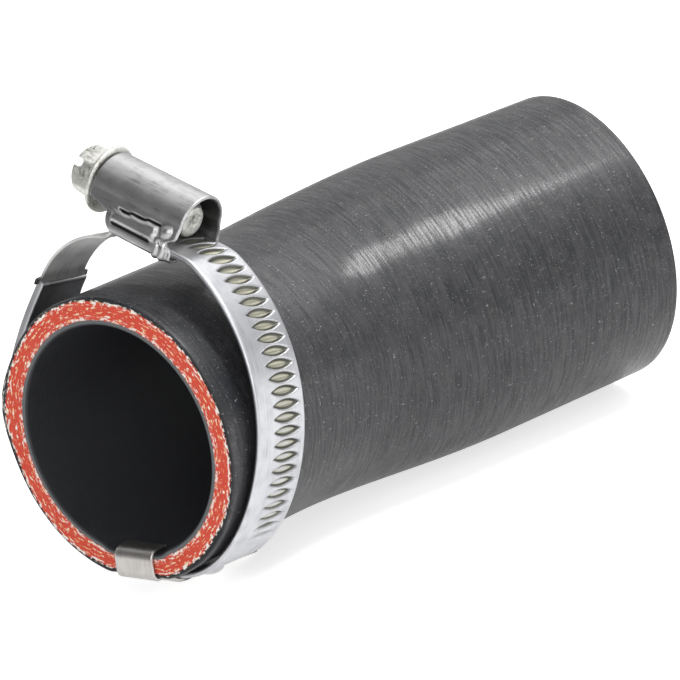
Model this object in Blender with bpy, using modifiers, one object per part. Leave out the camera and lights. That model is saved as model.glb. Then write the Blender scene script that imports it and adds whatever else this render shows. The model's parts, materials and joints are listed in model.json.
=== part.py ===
"""Bent rubber charge air hose coupling with its worm drive clamp and end clip.

The hose frame has its origin at the centre of the near end, +Y along the near
cuff, +X to the right and +Z up. The clamp stands in a leaning plane of its own,
whose frame sits on the hose's axis. At the end the whole object is rolled and
pitched onto its clip, its rivet and the hose's belly, the way it lies on a bench.
Sizes are in metres and angles in degrees.
"""
import math

import bmesh
import bpy
import numpy as np
from mathutils import Matrix, Vector

MM = 0.001

# Hose: a moulded two-ply silicone bend with a flared far end
near_bore = 34.0 * MM
far_bore = 39.4 * MM
wall = 4.2 * MM
hose_length = 98.0 * MM
bend_start = 24.3 * MM
bend_run = 33.2 * MM
bend_angle = 20.0
bend_roll = 24.8
flare_start = 20.5 * MM
flare_run = 49.2 * MM
lap_height = 0.9 * MM
lap_width = 16.0
lap_press = 3.2 * MM
lap_rest = 0.15 * MM
pinch_outside = 20.35 * MM
pinch_bore = 16.9 * MM
pinch_half = 5.2 * MM
pinch_fade = 3.3 * MM
bore_overrun = 4.0 * MM
hose_stations = 22
hose_sides = 60

# Clamp band: a loose loop that hugs the lower hose and stands off at the top
clamp_station = 2.4 * MM
clamp_lean = 9.0
clamp_yaw = 1.7
band_width = 11.2 * MM
band_thickness = 0.8 * MM
fit_gap = 0.3 * MM
loop_shift = (-6.66 * MM, 1.69 * MM)
loop_end = 58.0
left_arc_radius = 60.0 * MM
left_arc_start = 172.0
hook_height = 18.4 * MM
clip_hold = 7.0 * MM
hold_centre = -96.0
hold_sharpness = 7
tail_length = 12.0 * MM
neck_length = 8.0 * MM
neck_narrowing = 0.9 * MM
path_step = 1.5 * MM

# Pressed thread in the band
thread_pitch = 1.85 * MM
thread_count = 27
thread_length = 6.6 * MM
thread_wide = 1.25 * MM
thread_depth = 0.3 * MM
thread_lift = 0.12 * MM
thread_slant = 14.0
thread_offset = 0.8 * MM
thread_lead = 1.6 * MM

# Screw housing, laid out from its screw's axis
screw_tilt = 12.0
screw_crossing = 32.1 * MM
barrel_radius = 4.5 * MM
sheet = 0.6 * MM
housing_left = -10.7 * MM
housing_right = 5.3 * MM
skirt_left = -7.6 * MM
waist_drop = 1.1 * MM
foot_width = 2.2 * MM
curl_height = 0.7 * MM
curl_middle = 3.9 * MM
curl_width = 1.2 * MM

# Worm screw
worm_radius = 2.9 * MM
worm_root = 2.4 * MM
worm_tip = 3.4 * MM
worm_end_radius = 1.95 * MM
flange_radius = 5.1 * MM
flange_thickness = 0.9 * MM
hex_flats = 7.0 * MM
hex_height = 4.2 * MM
slot_width = 1.3 * MM
slot_depth = 1.7 * MM
slot_turn = 30.0
head_chamfer = 0.7 * MM

# Spring insert between the housing's saddle and the band's hook
spring_width = 9.8 * MM
spring_thickness = 0.5 * MM
spring_centre = (-6.9 * MM, 15.4 * MM)
spring_radius = 12.1 * MM
bow_start = 110.0
saddle_right = 3.0 * MM
ear_length = 1.0 * MM
ear_reach = 1.0 * MM

# Retaining clip under the near end
clip_width = 7.2 * MM
clip_thickness = 0.6 * MM
clip_angle = 10.2
clip_skew = 0.5
clip_inner_leg = 2.9 * MM
clip_gap = 0.25 * MM
clip_bend = 0.7 * MM
clip_rise_start = 1.2 * MM
clip_rise_end = 3.4 * MM
clip_rise = 1.05 * MM
clip_knee = 9.3 * MM
clip_knee_rise = 0.15 * MM
clip_tip = 23.0 * MM
clip_tip_rise = 1.25 * MM
rivet_offset = 1.5 * MM
rivet_station = 13.6 * MM
rivet_head = 2.2 * MM
rivet_rise = 1.2 * MM
rivet_shank = 1.25 * MM

# What the object is made of, for the way it lies at rest
rubber_density = 1200.0
steel_density = 7850.0
rest_margin = 1.0 * MM

near_radius = near_bore / 2 + wall
far_radius = far_bore / 2 + wall


def material(name, colour, roughness, metallic):
    """A plain Principled finish for one sub-part."""
    mat = bpy.data.materials.new(name)
    mat.use_nodes = True
    shader = mat.node_tree.nodes["Principled BSDF"]
    shader.inputs["Base Color"].default_value = (*colour, 1.0)
    shader.inputs["Roughness"].default_value = roughness
    shader.inputs["Metallic"].default_value = metallic
    return mat


def empty(name, parent=None, matrix=None):
    """A frame for its children."""
    frame = bpy.data.objects.new(name, None)
    part_collection.objects.link(frame)
    frame.parent = parent
    frame.matrix_local = matrix or Matrix.Identity(4)
    return frame


def add_object(name, mesh, parent, mat=None, cutter=False):
    """Link a mesh object under its frame, in the part's or the cutters' collection."""
    obj = bpy.data.objects.new(name, mesh)
    (cutter_collection if cutter else part_collection).objects.link(obj)
    obj.parent = parent
    if cutter:
        obj.hide_render = True
        obj.display_type = "WIRE"
    else:
        obj.data.materials.append(mat)
    return obj


def solidify(obj, thickness, offset=1.0):
    """Give an open surface its sheet thickness."""
    mod = obj.modifiers.new("sheet", "SOLIDIFY")
    mod.thickness = thickness
    mod.offset = offset
    mod.use_even_offset = True
    return mod


def boolean(obj, other, operation="DIFFERENCE"):
    """Cut or join with another mesh object."""
    mod = obj.modifiers.new(operation.lower(), "BOOLEAN")
    mod.operation = operation
    mod.solver = "EXACT"
    mod.object = other
    return mod


def smooth(mesh, angle=35.0):
    """Shade a round piece smooth, with its real edges kept sharp."""
    mesh.shade_smooth()
    mesh.set_sharp_from_angle(angle=math.radians(angle))


def sheet_mesh(name, rows):
    """An open quad surface from equally long rows of points."""
    mesh = bpy.data.meshes.new(name)
    n, m = len(rows), len(rows[0])
    faces = [
        (i * m + j, i * m + j + 1, (i + 1) * m + j + 1, (i + 1) * m + j)
        for i in range(n - 1)
        for j in range(m - 1)
    ]
    mesh.from_pydata([Vector(p) for row in rows for p in row], [], faces)
    mesh.update()
    return mesh


def smoothstep(x):
    """An even rise from 0 to 1."""
    x = min(max(x, 0.0), 1.0)
    return x * x * (3 - 2 * x)


def bend_direction(turn):
    """The hose axis's direction where it has turned by this many degrees."""
    side = Vector((math.cos(math.radians(bend_roll)), 0, math.sin(math.radians(bend_roll))))
    turn = math.radians(turn)
    return Vector((0, 1, 0)) * math.cos(turn) + side * math.sin(turn)


def hose_axis(station, steps=60):
    """The point and direction of the hose's axis at a distance along it."""
    point = Vector((0, 0, 0))
    step = station / steps
    for i in range(steps):
        middle = (i + 0.5) * step
        point += bend_direction(bend_angle * smoothstep((middle - bend_start) / bend_run)) * step
    return point, bend_direction(bend_angle * smoothstep((station - bend_start) / bend_run))


def hose_radius(station, near, far):
    """The radius at a station, for the bore or for the outside."""
    return near + (far - near) * smoothstep((station - flare_start) / flare_run)


def hose_tube(name, near, far, overrun, lap):
    """A closed round tube along the hose's axis, as a curve made into a mesh."""
    curve = bpy.data.curves.new(name, "CURVE")
    curve.dimensions = "3D"
    curve.bevel_depth = near
    curve.bevel_resolution = hose_sides // 2 - 2
    curve.use_fill_caps = True
    curve.twist_mode = "MINIMUM"
    spline = curve.splines.new("POLY")
    stations = [hose_length * i / (hose_stations - 1) for i in range(hose_stations)]
    if lap:
        stations = sorted(stations + [lap_press * 0.35, lap_press * 0.7])
    points = [(s, *hose_axis(s)) for s in stations]
    if overrun:
        first, last = points[0], points[-1]
        points = [(0.0, first[1] - first[2] * overrun, first[2])] + points
        points.append((hose_length, last[1] + last[2] * overrun, last[2]))
    spline.points.add(len(points) - 1)
    for point, (station, place, _) in zip(spline.points, points):
        point.co = (*place, 1.0)
        point.radius = hose_radius(station, near, far) / near
    guide = bpy.data.objects.new(name, curve)
    cutter_collection.objects.link(guide)
    bpy.context.view_layer.update()
    evaluated = guide.evaluated_get(bpy.context.evaluated_depsgraph_get())
    mesh = bpy.data.meshes.new_from_object(evaluated)
    bpy.data.objects.remove(guide)
    body = bmesh.new()
    body.from_mesh(mesh)
    bmesh.ops.remove_doubles(body, verts=body.verts, dist=0.00001)
    if lap:
        raise_lap(body)
    press_flat(body, pinch_outside if lap else pinch_bore)
    bmesh.ops.recalc_face_normals(body, faces=body.faces)
    body.to_mesh(mesh)
    body.free()
    return mesh


def raise_lap(body):
    """Lift the outer ply where it laps over itself on the left side."""
    for vert in body.verts:
        height = lap_rest + (lap_height - lap_rest) * (1 - smoothstep(vert.co.y / lap_press))
        radial = Vector((vert.co.x, 0, vert.co.z))
        if vert.co.y > bend_start or radial.length < near_radius * 0.9:
            height = 0.0
        angle = math.degrees(math.atan2(vert.co.z, -vert.co.x))
        vert.co += radial.normalized() * height * math.exp(-((angle / lap_width) ** 2))


def press_flat(body, depth):
    """Press the wall flat under the clip, to a depth below the axis at the near end."""
    turn = Matrix.Rotation(math.radians(clip_angle), 3, "Y")
    for vert in body.verts:
        place = turn @ vert.co
        hold = 1 - smoothstep((abs(place.x) - pinch_half) / pinch_fade)
        hold *= 1 - smoothstep((place.y - pinch_half) / pinch_fade)
        if place.z < 0 and place.y < bend_start and place.length > near_bore / 4:
            place.z += (-depth - place.z) * hold
            vert.co = turn.inverted() @ place


def build_hose():
    """The hose: its outside, less its bore."""
    outside = hose_tube("hose", near_radius, far_radius, 0.0, True)
    smooth(outside)
    hose = add_object("hose", outside, hose_frame, material("rubber", (0.045, 0.045, 0.05), 0.55, 0.0))
    bore = hose_tube("hose_bore", near_bore / 2, far_bore / 2, bore_overrun, False)
    boolean(hose, add_object("hose_bore", bore, hose_frame, cutter=True))
    return hose


def arc(centre, radius, start, end):
    """Points along an arc in the clamp's plane, spaced by about the path's step."""
    count = max(2, round(abs(math.radians(end - start)) * radius / path_step))
    return [
        (centre[0] + radius * math.cos(math.radians(a)), centre[1] + radius * math.sin(math.radians(a)))
        for a in np.linspace(start, end, count + 1)
    ]


def along_screw(distance, drop):
    """A point in the clamp's plane, along the screw's axis and below it."""
    tilt = math.radians(screw_tilt)
    return (
        distance * math.cos(tilt) - drop * math.sin(tilt),
        screw_crossing - distance * math.sin(tilt) - drop * math.cos(tilt),
    )


def hermite(p0, t0, p1, t1, count):
    """Points of a smooth curve between two points with given tangents."""
    points = []
    for s in np.linspace(0, 1, count + 1):
        h = (2 * s**3 - 3 * s**2 + 1, s**3 - 2 * s**2 + s, -2 * s**3 + 3 * s**2, s**3 - s**2)
        points.append(tuple(h[0] * p0[k] + h[1] * t0[k] + h[2] * p1[k] + h[3] * t1[k] for k in (0, 1)))
    return points


hug_radius = near_radius / math.cos(math.radians(clamp_lean)) + fit_gap
loop_angle = math.degrees(math.atan2(-loop_shift[1], -loop_shift[0]))
loop_radius = hug_radius + math.hypot(*loop_shift)
band_drop = worm_radius + fit_gap
saddle_drop = band_drop + band_thickness + fit_gap
fold_drop = saddle_drop + spring_thickness + fit_gap


def band_path():
    """The band's inner line in the clamp's plane, from its hook to its tail."""
    turn = left_arc_start
    lean = left_arc_radius - hug_radius
    centre = (-lean * math.cos(math.radians(turn)), -lean * math.sin(math.radians(turn)))
    top = 180.0 - math.degrees(math.asin((hook_height - centre[1]) / left_arc_radius))
    points = arc(centre, left_arc_radius, top, turn)
    points += arc((0, 0), hug_radius, turn, 360.0 + loop_angle)[1:]
    points += arc(loop_shift, loop_radius, loop_angle, loop_end)[1:]
    last = points[-1]
    heading = (-math.sin(math.radians(loop_end)), math.cos(math.radians(loop_end)))
    entry = along_screw(housing_right - 1.0 * MM, band_drop + band_thickness)
    reach = 0.9 * math.dist(last, entry)
    tilt = math.radians(screw_tilt)
    inward = (-math.cos(tilt), math.sin(tilt))
    points += hermite(last, [reach * c for c in heading], entry, [reach * c for c in inward], 7)[1:]
    steps = round(tail_length / path_step)
    for i in range(1, steps + 1):
        points.append(tuple(entry[k] + inward[k] * tail_length * i / steps for k in (0, 1)))
    return points


def held(a, b):
    """How much of the clip's hold the band feels at this point, from 0 to 1."""
    angle = math.radians(hold_centre) - math.atan2(b, a)
    return (0.5 + 0.5 * math.cos(angle)) ** hold_sharpness


def band_point(a, b, across):
    """A point of the band's inner side, at a distance back from its front edge.

    The band's width stands square to the clamp's plane, but near the bottom the
    clip pushes it back and lays it flat along the hose.
    """
    hold = held(a, b)
    along_hose = clamp_turn.inverted() @ Vector((0, 1, 0))
    back = Vector((0, 1, 0)).lerp(along_hose, hold).normalized()
    return Vector((a, 0, b)) + along_hose * clip_hold * hold + back * across


def band_strip(name, points, edges):
    """A strip across the clamp's plane along a line in it, with its own edges at each point."""
    rows = [[band_point(*point, edge) for edge in pair] for point, pair in zip(points, edges)]
    return sheet_mesh(name, rows)


def lengths_along(points):
    """The distance along a line of each of its points."""
    lengths = [0.0]
    for p, q in zip(points, points[1:]):
        lengths.append(lengths[-1] + math.dist(p, q))
    return lengths


def thread_frames(points):
    """Place and turn of each pressed groove, from the housing's mouth down the band."""
    points = points[::-1]
    path = [band_point(a, b, band_width / 2) for a, b in points]
    lengths = lengths_along(path)
    frames = []
    for i in range(-3, thread_count):
        target = tail_length + thread_lead + i * thread_pitch
        k = max(j for j in range(len(lengths) - 1) if lengths[j] <= target)
        place = path[k].lerp(path[k + 1], (target - lengths[k]) / (lengths[k + 1] - lengths[k]))
        tangent = (path[min(k + 2, len(path) - 1)] - path[max(k - 1, 0)]).normalized()
        across = (band_point(*points[k], band_width) - band_point(*points[k], 0.0)).normalized()
        outward = tangent.cross(across).normalized()
        turn = Matrix.Rotation(math.radians(thread_slant), 3, outward)
        lift = outward * (band_thickness + thread_lift)
        frames.append((place + lift + across * thread_offset, turn @ across, outward))
    return frames


def groove_cutter(frames):
    """Lens shaped cutters for all the pressed grooves, as one mesh."""
    mesh = bpy.data.meshes.new("groove_cutter")
    body = bmesh.new()
    for place, across, outward in frames:
        along = across.cross(outward).normalized()
        made = bmesh.ops.create_uvsphere(body, u_segments=10, v_segments=6, radius=1.0)
        depth = thread_depth + thread_lift
        turn = Matrix((along * thread_wide / 2, outward * depth, across * thread_length / 2)).transposed()
        bmesh.ops.transform(body, verts=made["verts"], matrix=Matrix.Translation(place) @ turn.to_4x4())
    bmesh.ops.recalc_face_normals(body, faces=body.faces)
    body.to_mesh(mesh)
    body.free()
    return mesh


def build_band():
    """The clamp band with its pressed thread, and a narrower neck at its hook."""
    points = band_path()
    necks = [neck_narrowing * (1 - smoothstep(run / neck_length)) for run in lengths_along(points)]
    strip = band_strip("clamp_band", points, [(0.0, band_width - neck) for neck in necks])
    steel = material("band_steel", (0.72, 0.72, 0.74), 0.28, 1.0)
    band = add_object("clamp_band", strip, clamp_frame, steel)
    solidify(band, band_thickness, 1.0)
    smooth(strip)
    cutter = add_object("groove_cutter", groove_cutter(thread_frames(points)), clamp_frame, cutter=True)
    boolean(band, cutter)
    return band


def spring_path():
    """The spring insert's inner line, from under the housing to the band's hook."""
    drop = saddle_drop + spring_thickness
    saddle = [along_screw(x, drop) for x in np.linspace(saddle_right, skirt_left - 2 * fit_gap, 6)]
    last = saddle[-1]
    end = 180.0 - math.degrees(math.asin((hook_height + 1.4 * fit_gap - spring_centre[1]) / spring_radius))
    bow = arc(spring_centre, spring_radius - spring_thickness, bow_start, end)
    tilt = math.radians(screw_tilt)
    reach = 1.2 * math.dist(last, bow[0])
    lead = (-math.cos(tilt) * reach, math.sin(tilt) * reach)
    leave = (-math.sin(math.radians(bow_start)) * reach, math.cos(math.radians(bow_start)) * reach)
    points = saddle + hermite(last, lead, bow[0], leave, 6)[1:-1] + bow
    way = [(b - a) / math.dist(points[-2], points[-1]) for a, b in zip(points[-2], points[-1])]
    neck = [tuple(points[-1][k] - way[k] * back for k in (0, 1)) for back in (1.3 * ear_length, ear_length)]
    return points[:-1] + neck + points[-1:]


def build_spring():
    """The spring insert: a thin bowed strip with an ear on each side of its end."""
    points = spring_path()
    edge = (band_width - spring_width) / 2
    edges = [(edge, band_width - edge)] * (len(points) - 2)
    edges += [(edge - ear_reach, band_width - edge + ear_reach)] * 2
    strip = band_strip("spring_insert", points, edges)
    steel = material("spring_steel", (0.5, 0.49, 0.48), 0.3, 1.0)
    spring = add_object("spring_insert", strip, clamp_frame, steel)
    solidify(spring, spring_thickness, 1.0)
    smooth(strip)
    return spring


def housing_section():
    """The housing's outer section as (across, up) points, front foot to rear foot."""
    half = band_width / 2 + fit_gap + sheet
    waist = barrel_radius
    side = [
        (half - foot_width, -fold_drop - sheet),
        (half - 0.5 * MM, -fold_drop - sheet),
        (half, -fold_drop - sheet + 0.5 * MM),
        (half, -waist_drop - 1.9 * MM),
        (half - 0.3 * MM, -waist_drop - 1.2 * MM),
        (waist, -waist_drop - 0.5 * MM),
        (waist, -waist_drop + 0.6 * MM),
    ]
    crown = [
        (barrel_radius * math.cos(math.radians(t)), barrel_radius * math.sin(math.radians(t)))
        for t in np.linspace(0, 180, 17)
    ]
    return side + crown + [(-x, z) for x, z in reversed(side)]


def build_housing():
    """The screw housing: one folded sheet round the screw and band, with a curl on each foot."""
    section = housing_section()
    rows = []
    for part_way in (0, 0.2, 0.4, 0.6, 0.76, 0.82, 0.88, 0.94, 1):
        row = []
        for across, up in section:
            left = housing_left + (skirt_left - housing_left) * smoothstep((-up - 0.2 * MM) / waist_drop)
            along = left + (housing_right - left) * part_way
            curl = curl_height * max(0.0, 1 - ((along - curl_middle) / curl_width) ** 2)
            curl *= smoothstep((-up - waist_drop) / waist_drop)
            row.append((along, across + math.copysign(curl, across), up))
        rows.append(row)
    mesh = sheet_mesh("screw_housing", rows)
    smooth(mesh)
    steel = material("housing_steel", (0.42, 0.41, 0.4), 0.25, 1.0)
    housing = add_object("screw_housing", mesh, screw_frame, steel)
    solidify(housing, sheet, -1.0)
    return housing


def turned(name, profile, steps=40):
    """A solid of revolution about its own X axis, from (along, radius) points."""
    mesh = bpy.data.meshes.new(name)
    mesh.from_pydata([(x, 0, r) for x, r in profile], [(i, i + 1) for i in range(len(profile) - 1)], [])
    obj = bpy.data.objects.new(name, mesh)
    mod = obj.modifiers.new("turn", "SCREW")
    mod.axis = "X"
    mod.steps = steps
    mod.render_steps = steps
    mod.use_merge_vertices = True
    mod.merge_threshold = 0.00002
    return obj


def build_worm():
    """The worm screw: threaded shank, flange and slotted hexagon head."""
    left = housing_left - fit_gap
    profile = [
        (worm_tip, 0.0),
        (worm_tip, worm_end_radius),
        (worm_tip - (worm_root - worm_end_radius), worm_root),
        (left, worm_root),
        (left, flange_radius),
        (left - flange_thickness, flange_radius),
        (left - flange_thickness, 0.0),
    ]
    worm = turned("worm_screw", profile)
    part_collection.objects.link(worm)
    worm.parent = screw_frame
    worm.data.materials.append(material("screw_zinc", (0.6, 0.6, 0.55), 0.35, 1.0))
    head_mesh = bpy.data.meshes.new("hexagon_head")
    body = bmesh.new()
    bmesh.ops.create_cone(
        body,
        cap_ends=True,
        segments=6,
        radius1=hex_flats / 2 / math.cos(math.radians(30)),
        radius2=hex_flats / 2 / math.cos(math.radians(30)),
        depth=hex_height,
        matrix=Matrix.Translation((left - flange_thickness + 0.1 * MM - hex_height / 2, 0, 0))
        @ Matrix.Rotation(math.radians(90), 4, "Y"),
    )
    end = [e for e in body.edges if all(v.co.x < left - flange_thickness - hex_height / 2 for v in e.verts)]
    bmesh.ops.bevel(body, geom=end, offset=head_chamfer, segments=2, profile=0.5, affect="EDGES")
    body.to_mesh(head_mesh)
    body.free()
    boolean(worm, add_object("hexagon_head", head_mesh, screw_frame, cutter=True), "UNION")
    slot_mesh = bpy.data.meshes.new("driver_slot")
    body = bmesh.new()
    bmesh.ops.create_cube(body, size=1.0)
    face = left - flange_thickness - hex_height
    bmesh.ops.scale(body, vec=(2 * slot_depth, slot_width, 4 * hex_flats), verts=body.verts)
    bmesh.ops.translate(body, vec=(face, 0, 0), verts=body.verts)
    turn = Matrix.Rotation(math.radians(slot_turn), 3, "X")
    bmesh.ops.rotate(body, cent=(0, 0, 0), matrix=turn, verts=body.verts)
    body.to_mesh(slot_mesh)
    body.free()
    boolean(worm, add_object("driver_slot", slot_mesh, screw_frame, cutter=True))
    return worm


def clip_line():
    """The clip's inner line as (along the hose, distance from its axis) points."""
    inner = pinch_bore - clip_gap
    outer = pinch_outside + clip_gap
    front = -fit_gap - clip_width / 2 * math.sin(math.radians(clip_skew))
    points = [(clip_inner_leg, inner)]
    points += [
        (front + clip_bend * (1 - math.sin(t)), inner + clip_bend * (1 - math.cos(t)))
        for t in np.linspace(0, math.pi / 2, 6)
    ]
    points += [
        (front + clip_bend * (1 - math.cos(t)), outer - clip_bend * (1 - math.sin(t)))
        for t in np.linspace(0, math.pi / 2, 6)
    ]
    points.append((clip_rise_start, outer))
    points.append((clip_rise_end, outer + clip_rise))
    return points + strap_line()


def strap_line():
    """The strap's inner line behind the band's front edge: its seat, its knee and its tip."""
    angle = math.radians(clip_angle - 90)
    front = band_point(hug_radius * math.cos(angle), hug_radius * math.sin(angle), 0.0)
    place = clamp_turn @ front + Vector((0, clamp_station, 0))
    seat = math.hypot(place.x, place.z) + band_thickness + clip_gap
    knee = seat + clip_knee_rise
    return [(place.y - fit_gap, seat), (clip_knee, knee), (clip_tip, knee + clip_tip_rise)]


def strap_depth(along):
    """The strap's inner side's distance from the hose's axis, behind its knee."""
    _, knee, tip = strap_line()
    return float(np.interp(along, (knee[0], tip[0]), (knee[1], tip[1])))


def build_clip():
    """The retaining clip: a strap with a hook over the near end's wall."""
    rows = [
        [(side * clip_width / 2, along, -depth) for side in (-1, 1)]
        for along, depth in clip_line()
    ]
    mesh = sheet_mesh("retaining_clip", rows)
    smooth(mesh)
    clip = add_object("retaining_clip", mesh, clip_frame, material("clip_steel", (0.5, 0.48, 0.46), 0.3, 1.0))
    solidify(clip, clip_thickness, -1.0)
    return clip


def rivet_frame():
    """The rivet's place on the strap's inner face and its turn, head outwards."""
    place = Vector((rivet_offset, rivet_station, -strap_depth(rivet_station)))
    slope = math.atan2(clip_tip_rise, clip_tip - clip_knee)
    return Matrix.Translation(place) @ Matrix.Rotation(math.pi - slope, 4, "X")


def build_rivet():
    """The round head rivet that holds the clip's strap to the band."""
    top = clip_thickness + fit_gap
    foot = -(band_thickness + fit_gap)
    head = [
        (top + rivet_rise * math.cos(t), rivet_head * math.sin(t))
        for t in np.linspace(0, math.pi / 2, 7)
    ]
    profile = head + [(top, rivet_shank), (foot, rivet_shank), (foot, 0.0)]
    rivet = turned("clip_rivet", profile, 24)
    part_collection.objects.link(rivet)
    rivet.parent = clip_frame
    rivet.matrix_local = rivet_frame() @ Matrix.Rotation(math.radians(-90), 4, "Y")
    rivet.data.materials.append(material("rivet_steel", (0.7, 0.7, 0.7), 0.3, 1.0))
    return rivet


def rivet_hole(target):
    """A clearance hole for the rivet's shank through a strip."""
    mesh = bpy.data.meshes.new("rivet_hole")
    body = bmesh.new()
    bmesh.ops.create_cone(
        body,
        cap_ends=True,
        segments=24,
        radius1=rivet_shank + fit_gap,
        radius2=rivet_shank + fit_gap,
        depth=6 * (band_thickness + clip_thickness),
    )
    body.to_mesh(mesh)
    body.free()
    cutter = add_object("rivet_hole", mesh, clip_frame, cutter=True)
    cutter.matrix_local = rivet_frame()
    boolean(target, cutter)


def world_shape(obj):
    """An object's evaluated corners in the world and its solid's volume and centre."""
    evaluated = obj.evaluated_get(bpy.context.evaluated_depsgraph_get())
    mesh = evaluated.to_mesh()
    mesh.calc_loop_triangles()
    flat = np.empty(len(mesh.vertices) * 3)
    mesh.vertices.foreach_get("co", flat)
    world = np.array(evaluated.matrix_world)
    points = flat.reshape(-1, 3) @ world[:3, :3].T + world[:3, 3]
    corners = np.array([points[list(t.vertices)] for t in mesh.loop_triangles])
    evaluated.to_mesh_clear()
    volumes = np.einsum("ij,ij->i", corners[:, 0], np.cross(corners[:, 1], corners[:, 2])) / 6
    centre = (corners.sum(axis=1) / 4 * volumes[:, None]).sum(axis=0) / volumes.sum()
    return points, volumes.sum(), centre


def stable_face(points, centre):
    """The hull face that the object lies on: well under its centre and nearest to down."""
    body = bmesh.new()
    for point in points:
        body.verts.new(point)
    hull = bmesh.ops.convex_hull(body, input=body.verts)
    best = None
    for face in (f for f in hull["geom"] if isinstance(f, bmesh.types.BMFace)):
        ring = [v.co for v in face.verts]
        out = face.normal if face.normal.dot(ring[0] - centre) > 0 else -face.normal
        foot = centre + out * out.dot(ring[0] - centre)
        inside = []
        for p, q in zip(ring, ring[1:] + ring[:1]):
            inside.append((q - p).normalized().cross(foot - p).dot(face.normal))
        if min(inside) >= rest_margin and (best is None or out.z < best.z):
            best = out.copy()
    body.free()
    return best


def settle(root, parts):
    """Turn the object onto the hull face that it would lie on, and stand it at the origin."""
    bpy.context.view_layer.update()
    shapes = [(world_shape(obj), density) for obj, density in parts]
    points = np.vstack([shape[0] for shape, _ in shapes])
    mass = sum(shape[1] * density for shape, density in shapes)
    centre = sum(shape[2] * shape[1] * density for shape, density in shapes) / mass
    down = stable_face(points, Vector(centre))
    turn = down.rotation_difference(Vector((0, 0, -1))).to_matrix().to_4x4()
    root.matrix_world = turn @ root.matrix_world
    points = points @ np.array(turn)[:3, :3].T
    axis = root.matrix_world.to_3x3() @ Vector((0, 1, 0))
    spin = Matrix.Rotation(math.atan2(axis.x, axis.y), 4, "Z")
    root.matrix_world = spin @ root.matrix_world
    points = points @ np.array(spin)[:3, :3].T
    low, high = points.min(axis=0), points.max(axis=0)
    shift = Vector((-(low[0] + high[0]) / 2, -(low[1] + high[1]) / 2, -low[2]))
    root.matrix_world = Matrix.Translation(shift) @ root.matrix_world


for stale in list(bpy.data.objects):
    bpy.data.objects.remove(stale)

part_collection = bpy.data.collections.new("charge_air_hose")
cutter_collection = bpy.data.collections.new("cutters")
bpy.context.scene.collection.children.link(part_collection)
bpy.context.scene.collection.children.link(cutter_collection)

clamp_turn = Matrix.Rotation(math.radians(clamp_yaw), 4, "Z") @ Matrix.Rotation(math.radians(-clamp_lean), 4, "X")
hose_frame = empty("hose_frame", None, Matrix.Rotation(math.radians(clip_angle), 4, "Y"))
clamp_frame = empty("clamp_frame", hose_frame, Matrix.Translation((0, clamp_station, 0)) @ clamp_turn)
screw_frame = empty(
    "screw_frame",
    clamp_frame,
    Matrix.Translation((0, band_width / 2, screw_crossing))
    @ Matrix.Rotation(math.radians(screw_tilt), 4, "Y"),
)
clip_turn = Matrix.Rotation(math.radians(-clip_angle), 4, "Y") @ Matrix.Rotation(math.radians(-clip_skew), 4, "Z")
clip_frame = empty("clip_frame", hose_frame, clip_turn)

hose_part = build_hose()
band_part = build_band()
spring_part = build_spring()
housing_part = build_housing()
worm_part = build_worm()
clip_part = build_clip()
rivet_part = build_rivet()
rivet_hole(band_part)
rivet_hole(clip_part)
steel_parts = (band_part, spring_part, housing_part, worm_part, clip_part, rivet_part)
settle(hose_frame, [(hose_part, rubber_density)] + [(piece, steel_density) for piece in steel_parts])
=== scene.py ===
"""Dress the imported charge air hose: its rubber, its clamp, and the studio round them.

Shapes are worked out in millimetres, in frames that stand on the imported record's
near and far faces, and are put into the row's space in metres at the end.
"""
from __future__ import annotations

import json
import logging
import math
from dataclasses import dataclass, field
from enum import Enum
from functools import reduce

import bmesh
import bpy
import numpy as np
from mathutils import Matrix

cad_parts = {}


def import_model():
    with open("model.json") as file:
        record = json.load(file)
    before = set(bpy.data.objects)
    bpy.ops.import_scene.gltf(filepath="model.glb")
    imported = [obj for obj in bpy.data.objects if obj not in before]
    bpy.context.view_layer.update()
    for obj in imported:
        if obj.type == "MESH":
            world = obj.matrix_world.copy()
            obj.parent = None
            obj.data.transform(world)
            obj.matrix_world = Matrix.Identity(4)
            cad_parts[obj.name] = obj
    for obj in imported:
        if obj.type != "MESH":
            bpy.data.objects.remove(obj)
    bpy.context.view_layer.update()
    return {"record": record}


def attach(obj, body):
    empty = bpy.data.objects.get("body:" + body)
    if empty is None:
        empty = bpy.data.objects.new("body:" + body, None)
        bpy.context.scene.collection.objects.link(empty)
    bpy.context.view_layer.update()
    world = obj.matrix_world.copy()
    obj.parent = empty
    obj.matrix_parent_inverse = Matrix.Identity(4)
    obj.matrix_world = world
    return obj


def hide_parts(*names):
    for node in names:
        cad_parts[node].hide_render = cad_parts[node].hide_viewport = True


log = logging.getLogger("charge_air_hose")

MM = 0.001
MERGE = 1e-7
CREASE = math.radians(40)
RIVET_CREASE = math.radians(50)
Triple = tuple[float, float, float]
Socket = bpy.types.NodeSocket
Value = float | Socket
Material = bpy.types.Material
Pair = tuple[float, float]


class Body(Enum):
    """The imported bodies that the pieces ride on."""

    HOSE = "clamped_hose"
    SCREW = "screw"


class Axis(Enum):
    """The axis of a turn, as the index of the row that it leaves alone."""

    X = 0
    Y = 1
    Z = 2


def rotation(axis: Axis, degrees: float) -> np.ndarray:
    """A right-handed turn about one axis.

    Args:
        axis: the axis of the turn.
        degrees: its angle.

    Returns:
        The 3 by 3 matrix that turns column vectors.
    """
    i, j = (axis.value + 1) % 3, (axis.value + 2) % 3
    c, s = math.cos(math.radians(degrees)), math.sin(math.radians(degrees))
    turn = np.eye(3)
    turn[i, i] = turn[j, j] = c
    turn[i, j], turn[j, i] = -s, s
    return turn


def smoothstep(x: np.ndarray | float) -> np.ndarray:
    """An even rise from 0 to 1, as 3x squared less 2x cubed."""
    x = np.clip(x, 0.0, 1.0)
    return x * x * (3 - 2 * x)


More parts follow.
